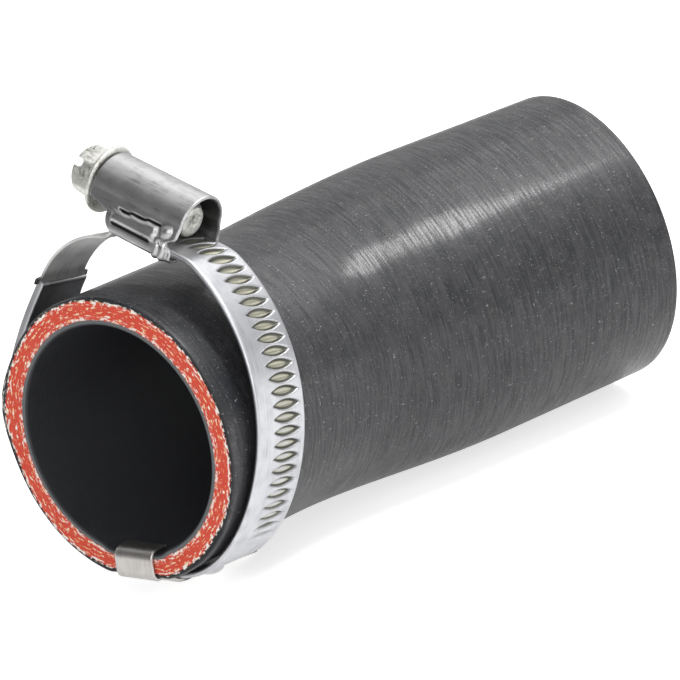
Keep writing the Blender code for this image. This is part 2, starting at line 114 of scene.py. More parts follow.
def ramp(x: np.ndarray, low: float, high: float) -> np.ndarray:
    """A smooth rise from 0 at low to 1 at high, which may also be the smaller of the two."""
    return smoothstep((x - low) / (high - low))


def pad(x: np.ndarray, low: float, high: float, soft: float) -> np.ndarray:
    """A smooth plateau of height 1 between two limits, with flanks of a given softness."""
    return ramp(x, low - soft / 2, low + soft / 2) * ramp(x, high + soft / 2, high - soft / 2)


def unit(vectors: np.ndarray) -> np.ndarray:
    """Vectors of length 1 along the last axis."""
    return vectors / np.linalg.norm(vectors, axis=-1, keepdims=True)


def spaced(length: float, count: int, edge: float) -> np.ndarray:
    """Places along a strip, closer together in its rounded ends.

    Args:
        length: the strip's length.
        count: the number of even steps between the ends.
        edge: the length of each rounded end.

    Returns:
        Rising places from 0 to the length.
    """
    corner = edge * (1 - np.cos(np.linspace(0, math.pi / 2, 5)))
    inner = np.linspace(edge, length - edge, count + 1)[1:-1]
    return np.concatenate([corner, inner, length - corner[::-1]])


def softened(line: np.ndarray, rounds: int) -> np.ndarray:
    """A polyline with its corners cut: each round moves points to a quarter from each corner."""
    for _ in range(rounds):
        first, second = line[:-1], line[1:]
        inner = np.stack([first * 0.75 + second * 0.25, first * 0.25 + second * 0.75], axis=1)
        line = np.concatenate([line[:1], inner.reshape(-1, line.shape[1]), line[-1:]])
    return line


def distances(line: np.ndarray) -> np.ndarray:
    """Each point's distance along a line from its first point."""
    return np.concatenate([[0.0], np.cumsum(np.linalg.norm(np.diff(line, axis=0), axis=1))])


def angles(count: int) -> np.ndarray:
    """Even angles once round, without the last one, which is the first again."""
    return np.linspace(0, 2 * math.pi, count, endpoint=False)


def stacked(*parts: np.ndarray | float) -> np.ndarray:
    """Values of different shapes, spread over one grid, as the components of its vectors."""
    return np.stack(np.broadcast_arrays(*parts), axis=-1)


@dataclass(frozen=True)
class Place:
    """A frame in the row's space, for points in millimetres along its own axes."""

    origin: np.ndarray
    axes: np.ndarray

    def put(self, points: np.ndarray) -> np.ndarray:
        """Row positions in metres of this frame's points."""
        return self.origin + (points * MM) @ self.axes.T

    def child(self, offset: Triple, turn: np.ndarray) -> Place:
        """A frame that is moved and turned in this one.

        Args:
            offset: its origin in this frame, in millimetres.
            turn: its axes in this frame, as columns.

        Returns:
            The new frame.
        """
        return Place(self.put(np.array(offset, float)), self.axes @ turn)


@dataclass(frozen=True)
class Shape:
    """A mesh before it is placed: grids of corners and of their places in its grain, and its quads."""

    points: np.ndarray
    faces: np.ndarray
    grain: np.ndarray


def grid_faces(rows: int, columns: int, wrap_rows: bool, wrap_columns: bool) -> np.ndarray:
    """Quads over a grid of corners that are numbered row by row.

    Args:
        rows: the number of rows.
        columns: the number of columns.
        wrap_rows: whether the last row joins the first.
        wrap_columns: whether the last column joins the first.

    Returns:
        Corner numbers, four to a face.
    """
    i = np.arange(rows if wrap_rows else rows - 1)[:, None]
    j = np.arange(columns if wrap_columns else columns - 1)[None, :]
    i2, j2 = (i + 1) % rows, (j + 1) % columns
    quads = [i * columns + j, i * columns + j2, i2 * columns + j2, i2 * columns + j]
    return np.stack([np.broadcast_to(q, (i.size, j.size)) for q in quads], axis=-1).reshape(-1, 4)


def border(rows: int, columns: int) -> np.ndarray:
    """Which corners of a grid lie on its border."""
    mask = np.ones((rows, columns), bool)
    mask[1:-1, 1:-1] = False
    return mask


def two_sided(outer: np.ndarray, inner: np.ndarray) -> np.ndarray:
    """A mark on both sides of a pillow, whose shared border keeps the outer side's values."""
    outer, inner = np.broadcast_arrays(outer, inner)
    return np.stack([outer, np.where(border(*outer.shape), outer, inner)])


def pillow(middle: np.ndarray, normal: np.ndarray, half: np.ndarray, relief: np.ndarray | float,
           grain: np.ndarray) -> Shape:
    """A sheet with rounded edges: two grids, half a thickness either side of its middle.

    Args:
        middle: the middle surface, rows by columns by 3.
        normal: its outward unit normals.
        half: half the thickness, which is 0 all round the border.
        relief: how far the outer side is raised or, where negative, pressed in.
        grain: each corner's place along and across the sheet.

    Returns:
        One closed shape whose two sides share their border.
    """
    edge = border(*half.shape)
    outer = middle + normal * (half + np.where(edge, 0.0, relief))[..., None]
    inner = middle - normal * half[..., None]
    number = np.arange(half.size).reshape(half.shape)
    under = np.where(edge, number, number + half.size)
    quads = grid_faces(*half.shape, False, False)
    faces = np.concatenate([quads, under.ravel()[quads][:, ::-1]])
    return Shape(np.stack([outer, inner]), faces, np.stack([grain, grain]))


def rounded(distance: np.ndarray, radius: float) -> np.ndarray:
    """The height of a quarter circle's rim at a distance in from its edge, up to 1."""
    return np.sqrt(1 - (1 - np.clip(distance / radius, 0, 1)) ** 2)


def ribbon(line: np.ndarray, across: np.ndarray, start: np.ndarray, end: np.ndarray, thickness: float,
           columns: int, relief: np.ndarray | float = 0.0) -> Shape:
    """A strip along a line: each row runs across it, and its thickness goes to the left of its way.

    Args:
        line: the strip's inner line, one point a row.
        across: the unit direction across it, one a row.
        start: each row's start across, in millimetres.
        end: each row's end across.
        thickness: the sheet's thickness.
        columns: even steps across.
        relief: raised or pressed height on the outer side, rows by corners across.

    Returns:
        The closed strip.
    """
    edge = thickness / 2
    outward = unit(np.cross(across, np.gradient(line, axis=0)))[:, None]
    t = start[:, None] + (end - start)[:, None] * spaced(1.0, columns, edge / float(np.max(end - start)))
    s = distances(line)[:, None]
    half = edge * rounded(np.minimum(t - start[:, None], end[:, None] - t), edge)
    half = half * rounded(np.minimum(s, s[-1] - s), edge)
    middle = line[:, None] + across[:, None] * t[..., None] + outward * edge
    return pillow(middle, outward, half, relief, stacked(s, t, 0.0))


def rim_columns(columns: int) -> np.ndarray:
    """Which corners across a ribbon lie in its rounded edges, whose corners come from spaced()."""
    mask = np.zeros(columns + 9)
    mask[:5] = mask[-5:] = 1.0
    return mask


def rows_of(line: np.ndarray, step: float, edge: float) -> np.ndarray:
    """A line's points at even steps, with closer ones in its rounded ends."""
    run = distances(line)
    at = spaced(float(run[-1]), round(float(run[-1]) / step), edge)
    return np.stack([np.interp(at, run, column) for column in line.T], axis=1)


def turned(x: np.ndarray, radius: np.ndarray, angle: np.ndarray) -> Shape:
    """A solid round the X axis: each corner is its radius times the cosine and sine of its angle.

    Args:
        x: the rows' places along the axis.
        radius: each row's radius, by 1 or by angles.
        angle: the angles.

    Returns:
        The shape, closed where its first and last radius are 0.
    """
    points = stacked(x[:, None], radius * np.cos(angle), radius * np.sin(angle))
    return Shape(points, grid_faces(len(x), angle.size, False, True), points)


def volume(points: np.ndarray, faces: np.ndarray) -> float:
    """Signed volume of a closed mesh of quads, positive where its faces point outwards."""
    a, b, c, d = (points[faces[:, k]] for k in range(4))
    return float((np.cross(b, c) * a).sum() + (np.cross(c, d) * a).sum()) / 6


def store(mesh: bpy.types.Mesh, name: str, values: np.ndarray) -> None:
    """Store a number for each corner of a mesh, or a vector if there are three values for each."""
    kind, key = ("FLOAT_VECTOR", "vector") if values.size > len(mesh.vertices) else ("FLOAT", "value")
    mesh.attributes.new(name, kind, "POINT").data.foreach_set(key, values.astype(np.float32).ravel())


def linked(name: str, data: bpy.types.ID) -> bpy.types.Object:
    """A new object in the scene's collection."""
    obj = bpy.data.objects.new(name, data)
    bpy.context.scene.collection.objects.link(obj)
    return obj


def piece(name: str, shape: Shape, place: Place, finish: Material,
          **marks: np.ndarray) -> bpy.types.Object:
    """Put a shape into the scene as an object at the origin.

    Args:
        name: the object's name.
        shape: the shape in its own frame, in millimetres.
        place: that frame.
        finish: its material.
        marks: values at its corners that the material reads as attributes.

    Returns:
        The smooth shaded object, closed and with its faces outwards.
    """
    points = place.put(shape.points.reshape(-1, 3))
    faces = shape.faces if volume(points, shape.faces) > 0 else shape.faces[:, ::-1]
    mesh = bpy.data.meshes.new(name)
    mesh.from_pydata(points, [], faces.tolist())
    for key, values in {"grain": shape.grain, **marks}.items():
        store(mesh, key, values)
    body = bmesh.new()
    body.from_mesh(mesh)
    bmesh.ops.remove_doubles(body, verts=body.verts, dist=MERGE)
    bmesh.ops.dissolve_degenerate(body, edges=body.edges, dist=MERGE / 10)
    body.to_mesh(mesh)
    body.free()
    mesh.shade_smooth()
    mesh.materials.append(finish)
    return linked(name, mesh)


def cut(obj: bpy.types.Object, tool: bpy.types.Object) -> None:
    """Cut one object's solid out of another's, and keep the result as its mesh."""
    mod = obj.modifiers.new("cut", "BOOLEAN")
    mod.object, mod.solver = tool, "EXACT"
    bpy.context.view_layer.update()
    done = bpy.data.meshes.new_from_object(obj.evaluated_get(bpy.context.evaluated_depsgraph_get()))
    obj.modifiers.remove(mod)
    obj.data = done
    done.set_sharp_from_angle(angle=CREASE)
    bpy.data.objects.remove(tool)


def install(obj: bpy.types.Object, body: Body, slot: str, *nodes: str) -> None:
    """Make a piece ride on its body and stand for its nodes."""
    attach(obj, body.value)
    if nodes:
        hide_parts(*nodes)
    log.info("%s: %d faces", obj.name, len(obj.data.polygons))


class Nodes:
    """A short way to place and link shader nodes in one tree."""

    def __init__(self, tree: bpy.types.NodeTree) -> None:
        """Keep the tree to build in."""
        self.tree = tree

    def fill(self, node: bpy.types.Node, inputs: dict) -> None:
        """Set a node's inputs, by name or number, to values or to other nodes' sockets."""
        for key, value in inputs.items():
            if isinstance(value, Socket):
                self.tree.links.new(value, node.inputs[key])
            else:
                node.inputs[key].default_value = value

    def add(self, kind: str, inputs: dict | None = None, **settings: object) -> bpy.types.Node:
        """Add a node.

        Args:
            kind: the node's type, without its ShaderNode prefix.
            inputs: values or output sockets for its inputs, by name or number.
            settings: its own settings.

        Returns:
            The new node.
        """
        node = self.tree.nodes.new("ShaderNode" + kind)
        for key, value in settings.items():
            setattr(node, key, value)
        self.fill(node, inputs or {})
        return node

    def attribute(self, name: str, output: str = "Vector") -> Socket:
        """A piece's own attribute, as a vector or, by its Fac output, as a number."""
        return self.add("Attribute", attribute_name=name).outputs[output]

    def math(self, operation: str, a: Value, b: Value, clamp: bool = False) -> Socket:
        """The result of a Math node on two values or sockets."""
        return self.add("Math", {0: a, 1: b}, operation=operation, use_clamp=clamp).outputs[0]

    def times(self, *factors: Value) -> Socket:
        """The product of values or sockets."""
        return reduce(lambda a, b: self.math("MULTIPLY", a, b), factors)

    def total(self, *terms: Value | tuple, clamp: bool = False) -> Socket:
        """The sum of values or sockets, where a tuple stands for the product of its members."""
        parts = [self.times(*term) if isinstance(term, tuple) else term for term in terms]
        return reduce(lambda a, b: self.math("ADD", a, b, clamp), parts)

    def mix(self, factor: Value, a: object, b: object) -> Socket:
        """A colour between two colours or sockets, by a factor."""
        a, b = ((*c, 1) if isinstance(c, tuple) else c for c in (a, b))
        return self.add("Mix", {0: factor, 6: a, 7: b}, data_type="RGBA").outputs[2]

    def between(self, value: Value, low: float, high: float, to_low: float = 0.0,
                to_high: float = 1.0) -> Socket:
        """A value's smooth rise from one level to another between two limits."""
        inputs = {0: value, 1: low, 2: high, 3: to_low, 4: to_high}
        return self.add("MapRange", inputs, interpolation_type="SMOOTHSTEP").outputs[0]

    def noise(self, vector: Value, scale: Value, detail: float = 2.0, rough: float = 0.5) -> Socket:
        """The value of a noise texture."""
        inputs = {"Vector": vector, "Scale": scale, "Detail": detail, "Roughness": rough}
        return self.add("TexNoise", inputs).outputs[0]

    def stretched(self, vector: Value, scale: Triple, offset: Triple = (0.0, 0.0, 0.0)) -> Socket:
        """A vector scaled along each axis and moved."""
        return self.add("Mapping", {"Vector": vector, "Scale": scale, "Location": offset}).outputs[0]

    def dot(self, vector: Value, way: Triple) -> Socket:
        """How far a vector goes a given way."""
        return self.add("VectorMath", {0: vector, 1: way}, operation="DOT_PRODUCT").outputs["Value"]

    def bump(self, height: Value, distance: float, strength: float, **under: Value) -> Socket:
        """The normal of a height, over another bump's Normal if it is given."""
        inputs = {"Height": height, "Distance": distance, "Strength": strength, **under}
        return self.add("Bump", inputs).outputs[0]


def group(name: str, inputs: dict[str, float | None],
          outputs: tuple[str, ...]) -> tuple[bpy.types.NodeTree, dict, Nodes]:
    """A new shader node group with its sockets.

    Args:
        name: its name.
        inputs: its inputs' names with their default values, or None for a vector.
        outputs: its outputs' names.

    Returns:
        The group, its input sockets by name, and a builder for its nodes.
    """
    tree = bpy.data.node_groups.new(name, "ShaderNodeTree")
    for key, value in inputs.items():
        kind = "NodeSocketVector" if value is None else "NodeSocketFloat"
        socket = tree.interface.new_socket(key, in_out="INPUT", socket_type=kind)
        if value is not None:
            socket.default_value = value
    for key in outputs:
        tree.interface.new_socket(key, in_out="OUTPUT", socket_type="NodeSocketFloat")
    entry = tree.nodes.new("NodeGroupInput")
    return tree, {s.name: s for s in entry.outputs if s.name}, Nodes(tree)


def close_group(nodes: Nodes, outputs: dict[str, Socket]) -> None:
    """Link a group's results to its output sockets."""
    nodes.fill(nodes.tree.nodes.new("NodeGroupOutput"), outputs)


class Effects:
    """The node groups that several finishes share, each built once."""

    def __init__(self) -> None:
        """Build the groups."""
        self.scuffs = self._scuffs()
        self.specks = self._specks()

    @staticmethod
    def _scuffs() -> bpy.types.NodeTree:
        """Drawn or brushed streaks along the grain's first axis, and soft handling marks."""
        inputs = {"Vector": None, "Length": 0.15, "Fineness": 6.0}
        tree, entry, n = group("drawn_streaks", inputs, ("Streaks", "Marks"))
        vector, fine = entry["Vector"], entry["Fineness"]
        scale = n.add("CombineXYZ", {0: entry["Length"], 1: fine, 2: fine}).outputs[0]
        along = n.add("VectorMath", {0: vector, 1: scale}, operation="MULTIPLY").outputs[0]
        close_group(n, {"Streaks": n.noise(along, 1.0, 3.0, 0.6), "Marks": n.noise(vector, 0.35, 3.0, 0.55)})
        return tree

    @staticmethod
    def _specks() -> bpy.types.NodeTree:
        """Small separate specks, where a noise passes a high threshold."""
        tree, entry, n = group("dust_specks", {"Vector": None, "Scale": 1.0, "Threshold": 0.7}, ("Mask",))
        above = n.math("SUBTRACT", n.noise(entry["Vector"], entry["Scale"], 1.0), entry["Threshold"])
        close_group(n, {"Mask": n.math("MULTIPLY", above, 30.0, clamp=True)})
        return tree

    def speckled(self, n: Nodes, vector: Value, scale: float, threshold: float) -> Socket:
        """The mask of the specks' group, placed in a material with its own values."""
        inputs = {"Vector": vector, "Scale": scale, "Threshold": threshold}
        return n.add("Group", inputs, node_tree=self.specks).outputs[0]


def new_material(name: str) -> tuple[Material, Nodes, bpy.types.Node]:
    """A material with its node builder and its Principled shader."""
    mat = bpy.data.materials.new(name)
    mat.use_nodes = True
    return mat, Nodes(mat.node_tree), mat.node_tree.nodes["Principled BSDF"]


@dataclass(frozen=True)
class Rubber:
    """The hose's finish: charcoal cover, cut fabric plies and a dark bore."""

    cover: Triple = (0.0165, 0.0175, 0.0205)
    worn: Triple = (0.042, 0.042, 0.046)
    brown: Triple = (0.060, 0.053, 0.050)
    dust: Triple = (0.50, 0.50, 0.51)
    lining: Triple = (0.030, 0.031, 0.035)
    liner_edge: Triple = (0.13, 0.14, 0.145)
    ply: Triple = (0.77, 0.095, 0.050)
    ply_deep: Triple = (0.58, 0.062, 0.042)
    fibre: Triple = (0.92, 0.87, 0.80)
    thread: Triple = (0.90, 0.55, 0.28)
    seam_black: Triple = (0.020, 0.021, 0.023)
    roughness: float = 0.34
    sheen: float = 0.30
    coat_roughness: float = 0.17
    cuff_end: float = 7.0
    cuff_start: float = 3.0

    def build(self, effects: Effects) -> Material:
        """Make the material.

        Args:
            effects: the shared node groups.

        Returns:
            A material that reads the grain, the ring, the wall and the face attributes.
        """
        mat, n, shader = new_material("reinforced_rubber")
        straight, ring = n.attribute("grain"), n.attribute("ring")
        face, inside = n.attribute("face", "Fac"), n.attribute("inside", "Fac")
        cuff = n.between(n.add("SeparateXYZ", {0: straight}).outputs[1], self.cuff_end, self.cuff_start)
        wrap = n.noise(n.stretched(ring, (0.16, 2.2, 0.0)), 1.0, 4.0, 0.62)
        blotch = n.noise(straight, 0.30, 5.0, 0.62)
        cloud = n.noise(straight, 0.060)
        fine = n.noise(straight, 3.2, 3.0, 0.7)
        hair = n.stretched(straight, (3.6, 0.8, 1.7))
        nick = n.stretched(ring, (0.9, 4.5, 1.0))
        settings = ((hair, 1.0, 0.74), (nick, 1.0, 0.745), (straight, 4.2, 0.69))
        specks = (effects.speckled(n, *each) for each in settings)
        marks = reduce(lambda a, b: n.math("MAXIMUM", a, b), specks)
        tone = n.total((wrap, 0.42), (blotch, 0.34), (cloud, 0.24))
        mottle = n.between(n.noise(straight, 0.85, 4.0, 0.7), 0.50, 0.66)
        cover = n.mix(n.between(tone, 0.40, 0.62), self.cover, self.worn)
        cover = n.mix(n.times(mottle, 0.45), cover, self.brown)
        cover = n.mix(n.times(cuff, n.between(cloud, 0.62, 0.42, 0.2, 0.75)), cover, self.cover)
        cover = n.mix(n.times(marks, n.between(fine, 0.35, 0.7, 0.1, 0.55)), cover, self.dust)
        skin = n.mix(inside, cover, self.lining)
        polish = n.times(cuff, n.between(blotch, 0.4, 0.6, 0.12, 0.0))
        rough = n.total(self.roughness, (blotch, 0.16), (fine, 0.10), (polish, -1.0))
        gloss = n.between(n.total(wrap, (fine, 0.3)), 0.50, 0.78, 0.06, 0.34)
        bare = n.math("SUBTRACT", 1.0, n.math("MAXIMUM", face, inside))
        ridges = n.bump(n.total((wrap, 0.5), (blotch, 0.5)), 0.0005, 0.32)
        n.fill(shader, {
            "Base Color": n.mix(face, skin, self._cut_face(n, ring)),
            "Roughness": n.total(rough, (face, 0.35), (inside, 0.15)),
            "Specular IOR Level": self.sheen,
            "Coat Weight": n.times(gloss, bare),
            "Coat Roughness": self.coat_roughness,
            "Normal": n.bump(fine, 0.00012, 0.45, Normal=ridges),
        })
        return mat

    def _cut_face(self, n: Nodes, ring: Socket) -> Socket:
        """The cut end's colour: liner, red ply with torn white fibres, and black cover."""
        wall, lap = n.attribute("wall", "Fac"), n.attribute("lap", "Fac")
        wave = n.noise(n.stretched(ring, (1.0, 0.0, 1.0)), 0.09, 1.0)
        tear = n.noise(n.stretched(ring, (0.8, 0.0, 1.6)), 1.0, 3.0, 0.6)
        weave = n.noise(n.stretched(ring, (0.6, 0.0, 1.2)), 1.0, 4.0, 0.6)
        fray = n.noise(n.stretched(ring, (0.95, 0.0, 2.4), (7.0, 0.0, 3.0)), 1.0, 3.0, 0.62)
        threads = n.noise(n.stretched(ring, (0.80, 0.0, 3.0), (31.0, 0.0, 9.0)), 1.0, 3.0, 0.62)
        inner = n.total(wall, -0.05, (tear, 0.10))
        depth = n.total(inner, -0.13, (wave, 0.26))
        low, high = n.between(inner, 0.17, 0.21), n.between(depth, 0.80, 0.84)
        colour = n.mix(low, self.liner_edge, n.mix(weave, self.ply_deep, self.ply))
        colour = n.mix(high, colour, self.seam_black)
        outer_rim = n.times(n.between(depth, 0.70, 0.76), n.between(depth, 0.89, 0.84))
        rims = n.total(outer_rim, (low, n.between(inner, 0.34, 0.27), 0.85))
        torn = n.times(rims, n.between(fray, 0.50, 0.55))
        lapped = n.times(n.between(depth, 0.90, 0.93), n.between(depth, 1.02, 0.97), lap)
        lapped = n.times(lapped, n.between(threads, 0.50, 0.56))
        middle = n.times(low, n.math("SUBTRACT", 1.0, high), n.between(threads, 0.56, 0.61))
        bright = n.times(middle, n.between(fray, 0.50, 0.56))
        colour = n.mix(middle, colour, self.thread)
        return n.mix(n.total(torn, bright, lapped, clamp=True), colour, self.fibre)


@dataclass(frozen=True)
class Steel:
    """A drawn, pressed or plated steel finish."""

    name: str
    colour: Triple
    shade: Triple
    roughness: float
    streak: float = 0.25
    fineness: float = 5.0
    bump: float = 0.15
    # the painted shade colour, and the colour that deep groove marks take
    hollow: Triple | None = None
    hollow_floor: Triple | None = None
    length: float = 0.15
    metallic: float = 1.0

    def build(self, effects: Effects) -> Material:
        """Make the material.

        A painted shade mark darkens the steel with painted shade, a deep one has the floor's colour,
        and one over 1 gets the plain colour back.

        Args:
            effects: the shared node groups.

        Returns:
            A metal whose colour, roughness and bump follow its drawn grain.
        """
        mat, n, shader = new_material(self.name)
        grain = n.attribute("grain")
        inputs = {"Vector": grain, "Length": self.length, "Fineness": self.fineness}
        streaks, marks = n.add("Group", inputs, node_tree=effects.scuffs).outputs[:2]
        specks = effects.speckled(n, grain, 2.2, 0.74)
        shaded = n.times(n.between(marks, 0.35, 0.7), n.between(streaks, 0.3, 0.7))
        plain = n.mix(shaded, self.colour, self.shade)
        plain = n.mix(n.times(specks, 0.35), plain, self.shade)
        colour = plain
        # painted shade: the mark darkens recesses, edges and inner sides where shade falls
        if self.hollow is not None:
            hollow = n.attribute("hollow", "Fac")
            colour = n.mix(n.between(hollow, 0.04, 0.30), plain, self.hollow)
            if self.hollow_floor is not None:
                colour = n.mix(n.between(hollow, 0.62, 0.95), colour, self.hollow_floor)
                colour = n.mix(n.between(hollow, 1.0, 1.6), colour, plain)
        n.fill(shader, {
            "Base Color": colour,
            "Roughness": n.total(self.roughness - self.streak / 4, (streaks, self.streak / 2), (marks, 0.08)),
            "Metallic": self.metallic,
            "Normal": n.bump(streaks, 0.00005, self.bump),
        })
        return mat


@dataclass(frozen=True)
class Finishes:
    """Every finish of the object."""

    rubber: Rubber = Rubber()
    band: Steel = Steel(
        "bright_band_steel", (0.55, 0.555, 0.575), (0.37, 0.37, 0.395), 0.37, 0.3, 6.0, 0.3,
        # painted shade colour, then the groove floors' olive grey
        (0.105, 0.105, 0.09), (0.40, 0.39, 0.31),
    )
    spring: Steel = Steel(
        "satin_spring_steel", (0.78, 0.775, 0.765), (0.48, 0.47, 0.46), 0.36, 0.3, 4.0, 0.25,
        # painted shade colour for the hook end and the ears' edges
        (0.03, 0.027, 0.025), metallic=0.2,
    )
    housing: Steel = Steel(
        "pressed_housing_steel", (0.50, 0.495, 0.50), (0.25, 0.245, 0.245), 0.35, 0.3, 3.0, 0.35,
        # painted shade colour for the slit, the crease and the inner side
        (0.04, 0.04, 0.04),
    )
    screw: Steel = Steel(
        "zinc_plated_steel", (0.68, 0.68, 0.64), (0.19, 0.19, 0.17), 0.42, 0.3, 2.2, 1.0,
        length=2.0, metallic=0.85,
    )
    clip: Steel = Steel(
        "satin_clip_steel", (0.56, 0.54, 0.52), (0.40, 0.38, 0.36), 0.34, 0.35, 6.0, 0.25,
        # painted shade colour for the strap's side edges
        (0.06, 0.058, 0.055),
    )
    rivet: Steel = Steel("bright_rivet_steel", (0.72, 0.72, 0.72), (0.5, 0.5, 0.5), 0.3)


@dataclass
class Hose:
    """The moulded hose, as one surface round its axis and along its closed profile."""

    near_bore: float = 17.0
    far_bore: float = 19.7
    wall: float = 4.2
    skin: float = 0.03
    length: float = 98.0
    bend_start: float = 24.3
    bend_run: float = 33.2
    bend_angle: float = 20.0
    bend_roll: float = 24.8
    flare_start: float = 20.5
    flare_run: float = 49.2
    lap_height: float = 0.9
    lap_rest: float = 0.15
    lap_width: float = 16.0
    lap_press: float = 3.2
    lap_runout: float = 6.0
    edge: float = 0.35
    around: int = 252
    near_face_polar: float = 60.0
    press_angle: float = 10.2
    press_cover: float = 20.35
    press_bore: float = 16.9
    press_half: float = 3.7
    press_fade: float = 2.8
    seam: float = -80.0

    def place(self, record: dict) -> Place:
        """The hose frame, from the record's two faces: origin at the near end, +Y along it."""
        mounts = {m["name"]: m for m in record["mounts"]}
        y = -unit(np.array(mounts["near_face"]["axis"], float))
        far = np.array(mounts["far_face"]["axis"], float)
        side = unit(far - y * (far @ y))
        cross = np.cross(side, y)
        c, s = math.cos(math.radians(self.bend_roll)), math.sin(math.radians(self.bend_roll))
        axes = np.stack([side * c - cross * s, y, side * s + cross * c], axis=1)
        polar = math.radians(self.near_face_polar)
        arm = axes @ np.array([math.cos(polar), 0.0, math.sin(polar)]) * (self.near_bore + self.wall / 2) * MM
        return Place(np.array(mounts["near_face"]["pos_m"], float) - arm, axes)

    def axis(self, stations: np.ndarray) -> tuple[np.ndarray, np.ndarray]:
        """Points and in-plane normals of the bent axis.

        The direction turns by the bend's angle in one plane as a smoothstep of the
        station, and the points are its running sum.

        Args:
            stations: distances along the axis.

        Returns:
            Points and the normals that lie in the plane of the bend.
        """
        roll = math.radians(self.bend_roll)
        side = np.array([math.cos(roll), 0.0, math.sin(roll)])
        fine = np.linspace(0.0, self.length, 2001)
        turn = np.radians(self.bend_angle * smoothstep((fine - self.bend_start) / self.bend_run))
        way = np.outer(np.cos(turn), [0, 1, 0]) + np.outer(np.sin(turn), side)
        step = (way[1:] + way[:-1]) / 2 * (fine[1] - fine[0])
        track = np.concatenate([np.zeros((1, 3)), np.cumsum(step, axis=0)])
        points = np.stack([np.interp(stations, fine, track[:, k]) for k in range(3)], axis=1)
        turn = np.radians(self.bend_angle * smoothstep((stations - self.bend_start) / self.bend_run))
        return points, np.outer(np.cos(turn), side) - np.outer(np.sin(turn), [0, 1, 0])

    def profile(self) -> tuple[np.ndarray, np.ndarray, np.ndarray]:
        """The wall's closed profile: station, height over the bore, and part of the wall.

        The parts are 0 for the cover, 1 for a cut face and 2 for the bore.
        """
        e, w, far = self.edge, self.wall - self.skin, self.length
        quarter = np.linspace(0, math.pi / 2, 6)[1:-1]
        rise, fall = e * np.sin(quarter), e - e * np.cos(quarter)
        cover = np.concatenate([np.linspace(e, 6.0, 12), np.linspace(6.0, far - e, 84)[1:]])
        face = np.linspace(w - e, e, 19)
        bore = np.linspace(far - e, e, 60)
        parts = [
            (cover, w, 0),
            (far - e + rise, w - fall, 0),
            (far, face, 1),
            (far - fall, e - rise, 2),
            (bore, 0.0, 2),
            (e - rise, fall, 2),
            (0.0, face[::-1], 1),
            (fall, w - e + rise, 0),
        ]
        return tuple(np.concatenate([stacked(*p) for p in parts]).T)

    def pressed(self, corners: np.ndarray, share: np.ndarray) -> np.ndarray:
        """Press the wall flat under the clip.

        Below the axis, a corner's depth goes to that of a flat, by a smooth hold
        that fades to the sides and along the hose.

        Args:
            corners: the wall's corners.
            share: each corner's place in the wall, from 0 at the bore to 1.

        Returns:
            The corners with the flat in them.
        """
        turn = rotation(Axis.Y, self.press_angle)
        local = corners @ turn.T
        depth = self.press_bore + (self.press_cover - self.press_bore) * share
        hold = 1 - smoothstep((np.abs(local[..., 0]) - self.press_half) / self.press_fade)
        hold = hold * (1 - smoothstep((local[..., 1] - self.press_half) / self.press_fade))
        hold = np.where(local[..., 2] < 0, hold, 0.0)
        local[..., 2] += (-depth - local[..., 2]) * hold
        return local @ turn

    def build(self, place: Place, finish: Material) -> None:
        """Build the hose.

        A corner's radius is the bore's at its station plus its height in the wall,
        plus the lap of the outer ply, which is a bell curve round the left side.

        Args:
            place: the hose frame.
            finish: its material.
        """
        station, height, part = (v[:, None] for v in self.profile())
        angle = angles(self.around)
        points, in_plane = self.axis(station[:, 0])
        roll = math.radians(self.bend_roll)
        cross = np.array([-math.sin(roll), 0.0, math.cos(roll)])
        flare = smoothstep((station - self.flare_start) / self.flare_run)
        bore = self.near_bore + (self.far_bore - self.near_bore) * flare
        share = height / self.wall
        rise = self.lap_rest + (self.lap_height - self.lap_rest) * (1 - smoothstep(station / self.lap_press))
        rise = rise * ramp(station, self.bend_start, self.bend_start - self.lap_runout)
        from_lap = np.degrees(np.angle(np.exp(1j * (angle - math.pi))))
        bell = np.exp(-((from_lap / self.lap_width) ** 2))
        radius = bore + height + rise * bell * smoothstep(share)
        from_bend = (angle - roll)[:, None]
        direction = in_plane[:, None] * np.cos(from_bend) + cross * np.sin(from_bend)
        corners = self.pressed(points[:, None] + direction * radius[..., None], share)
        grain = stacked(radius * np.cos(angle), station, radius * np.sin(angle))
        faces = grid_faces(station.size, self.around, True, True)
        arc = (angle - math.radians(self.seam)) % (2 * math.pi) * (self.near_bore + self.wall)
        marks = {"wall": share, "face": part == 1, "inside": part == 2, "lap": bell}
        marks = {key: np.broadcast_to(value, radius.shape) for key, value in marks.items()}
        shape = Shape(corners, faces, grain)
        install(piece("hose_body", shape, place, finish, ring=stacked(arc, station, height), **marks),
                Body.HOSE, "rubber", "hose")


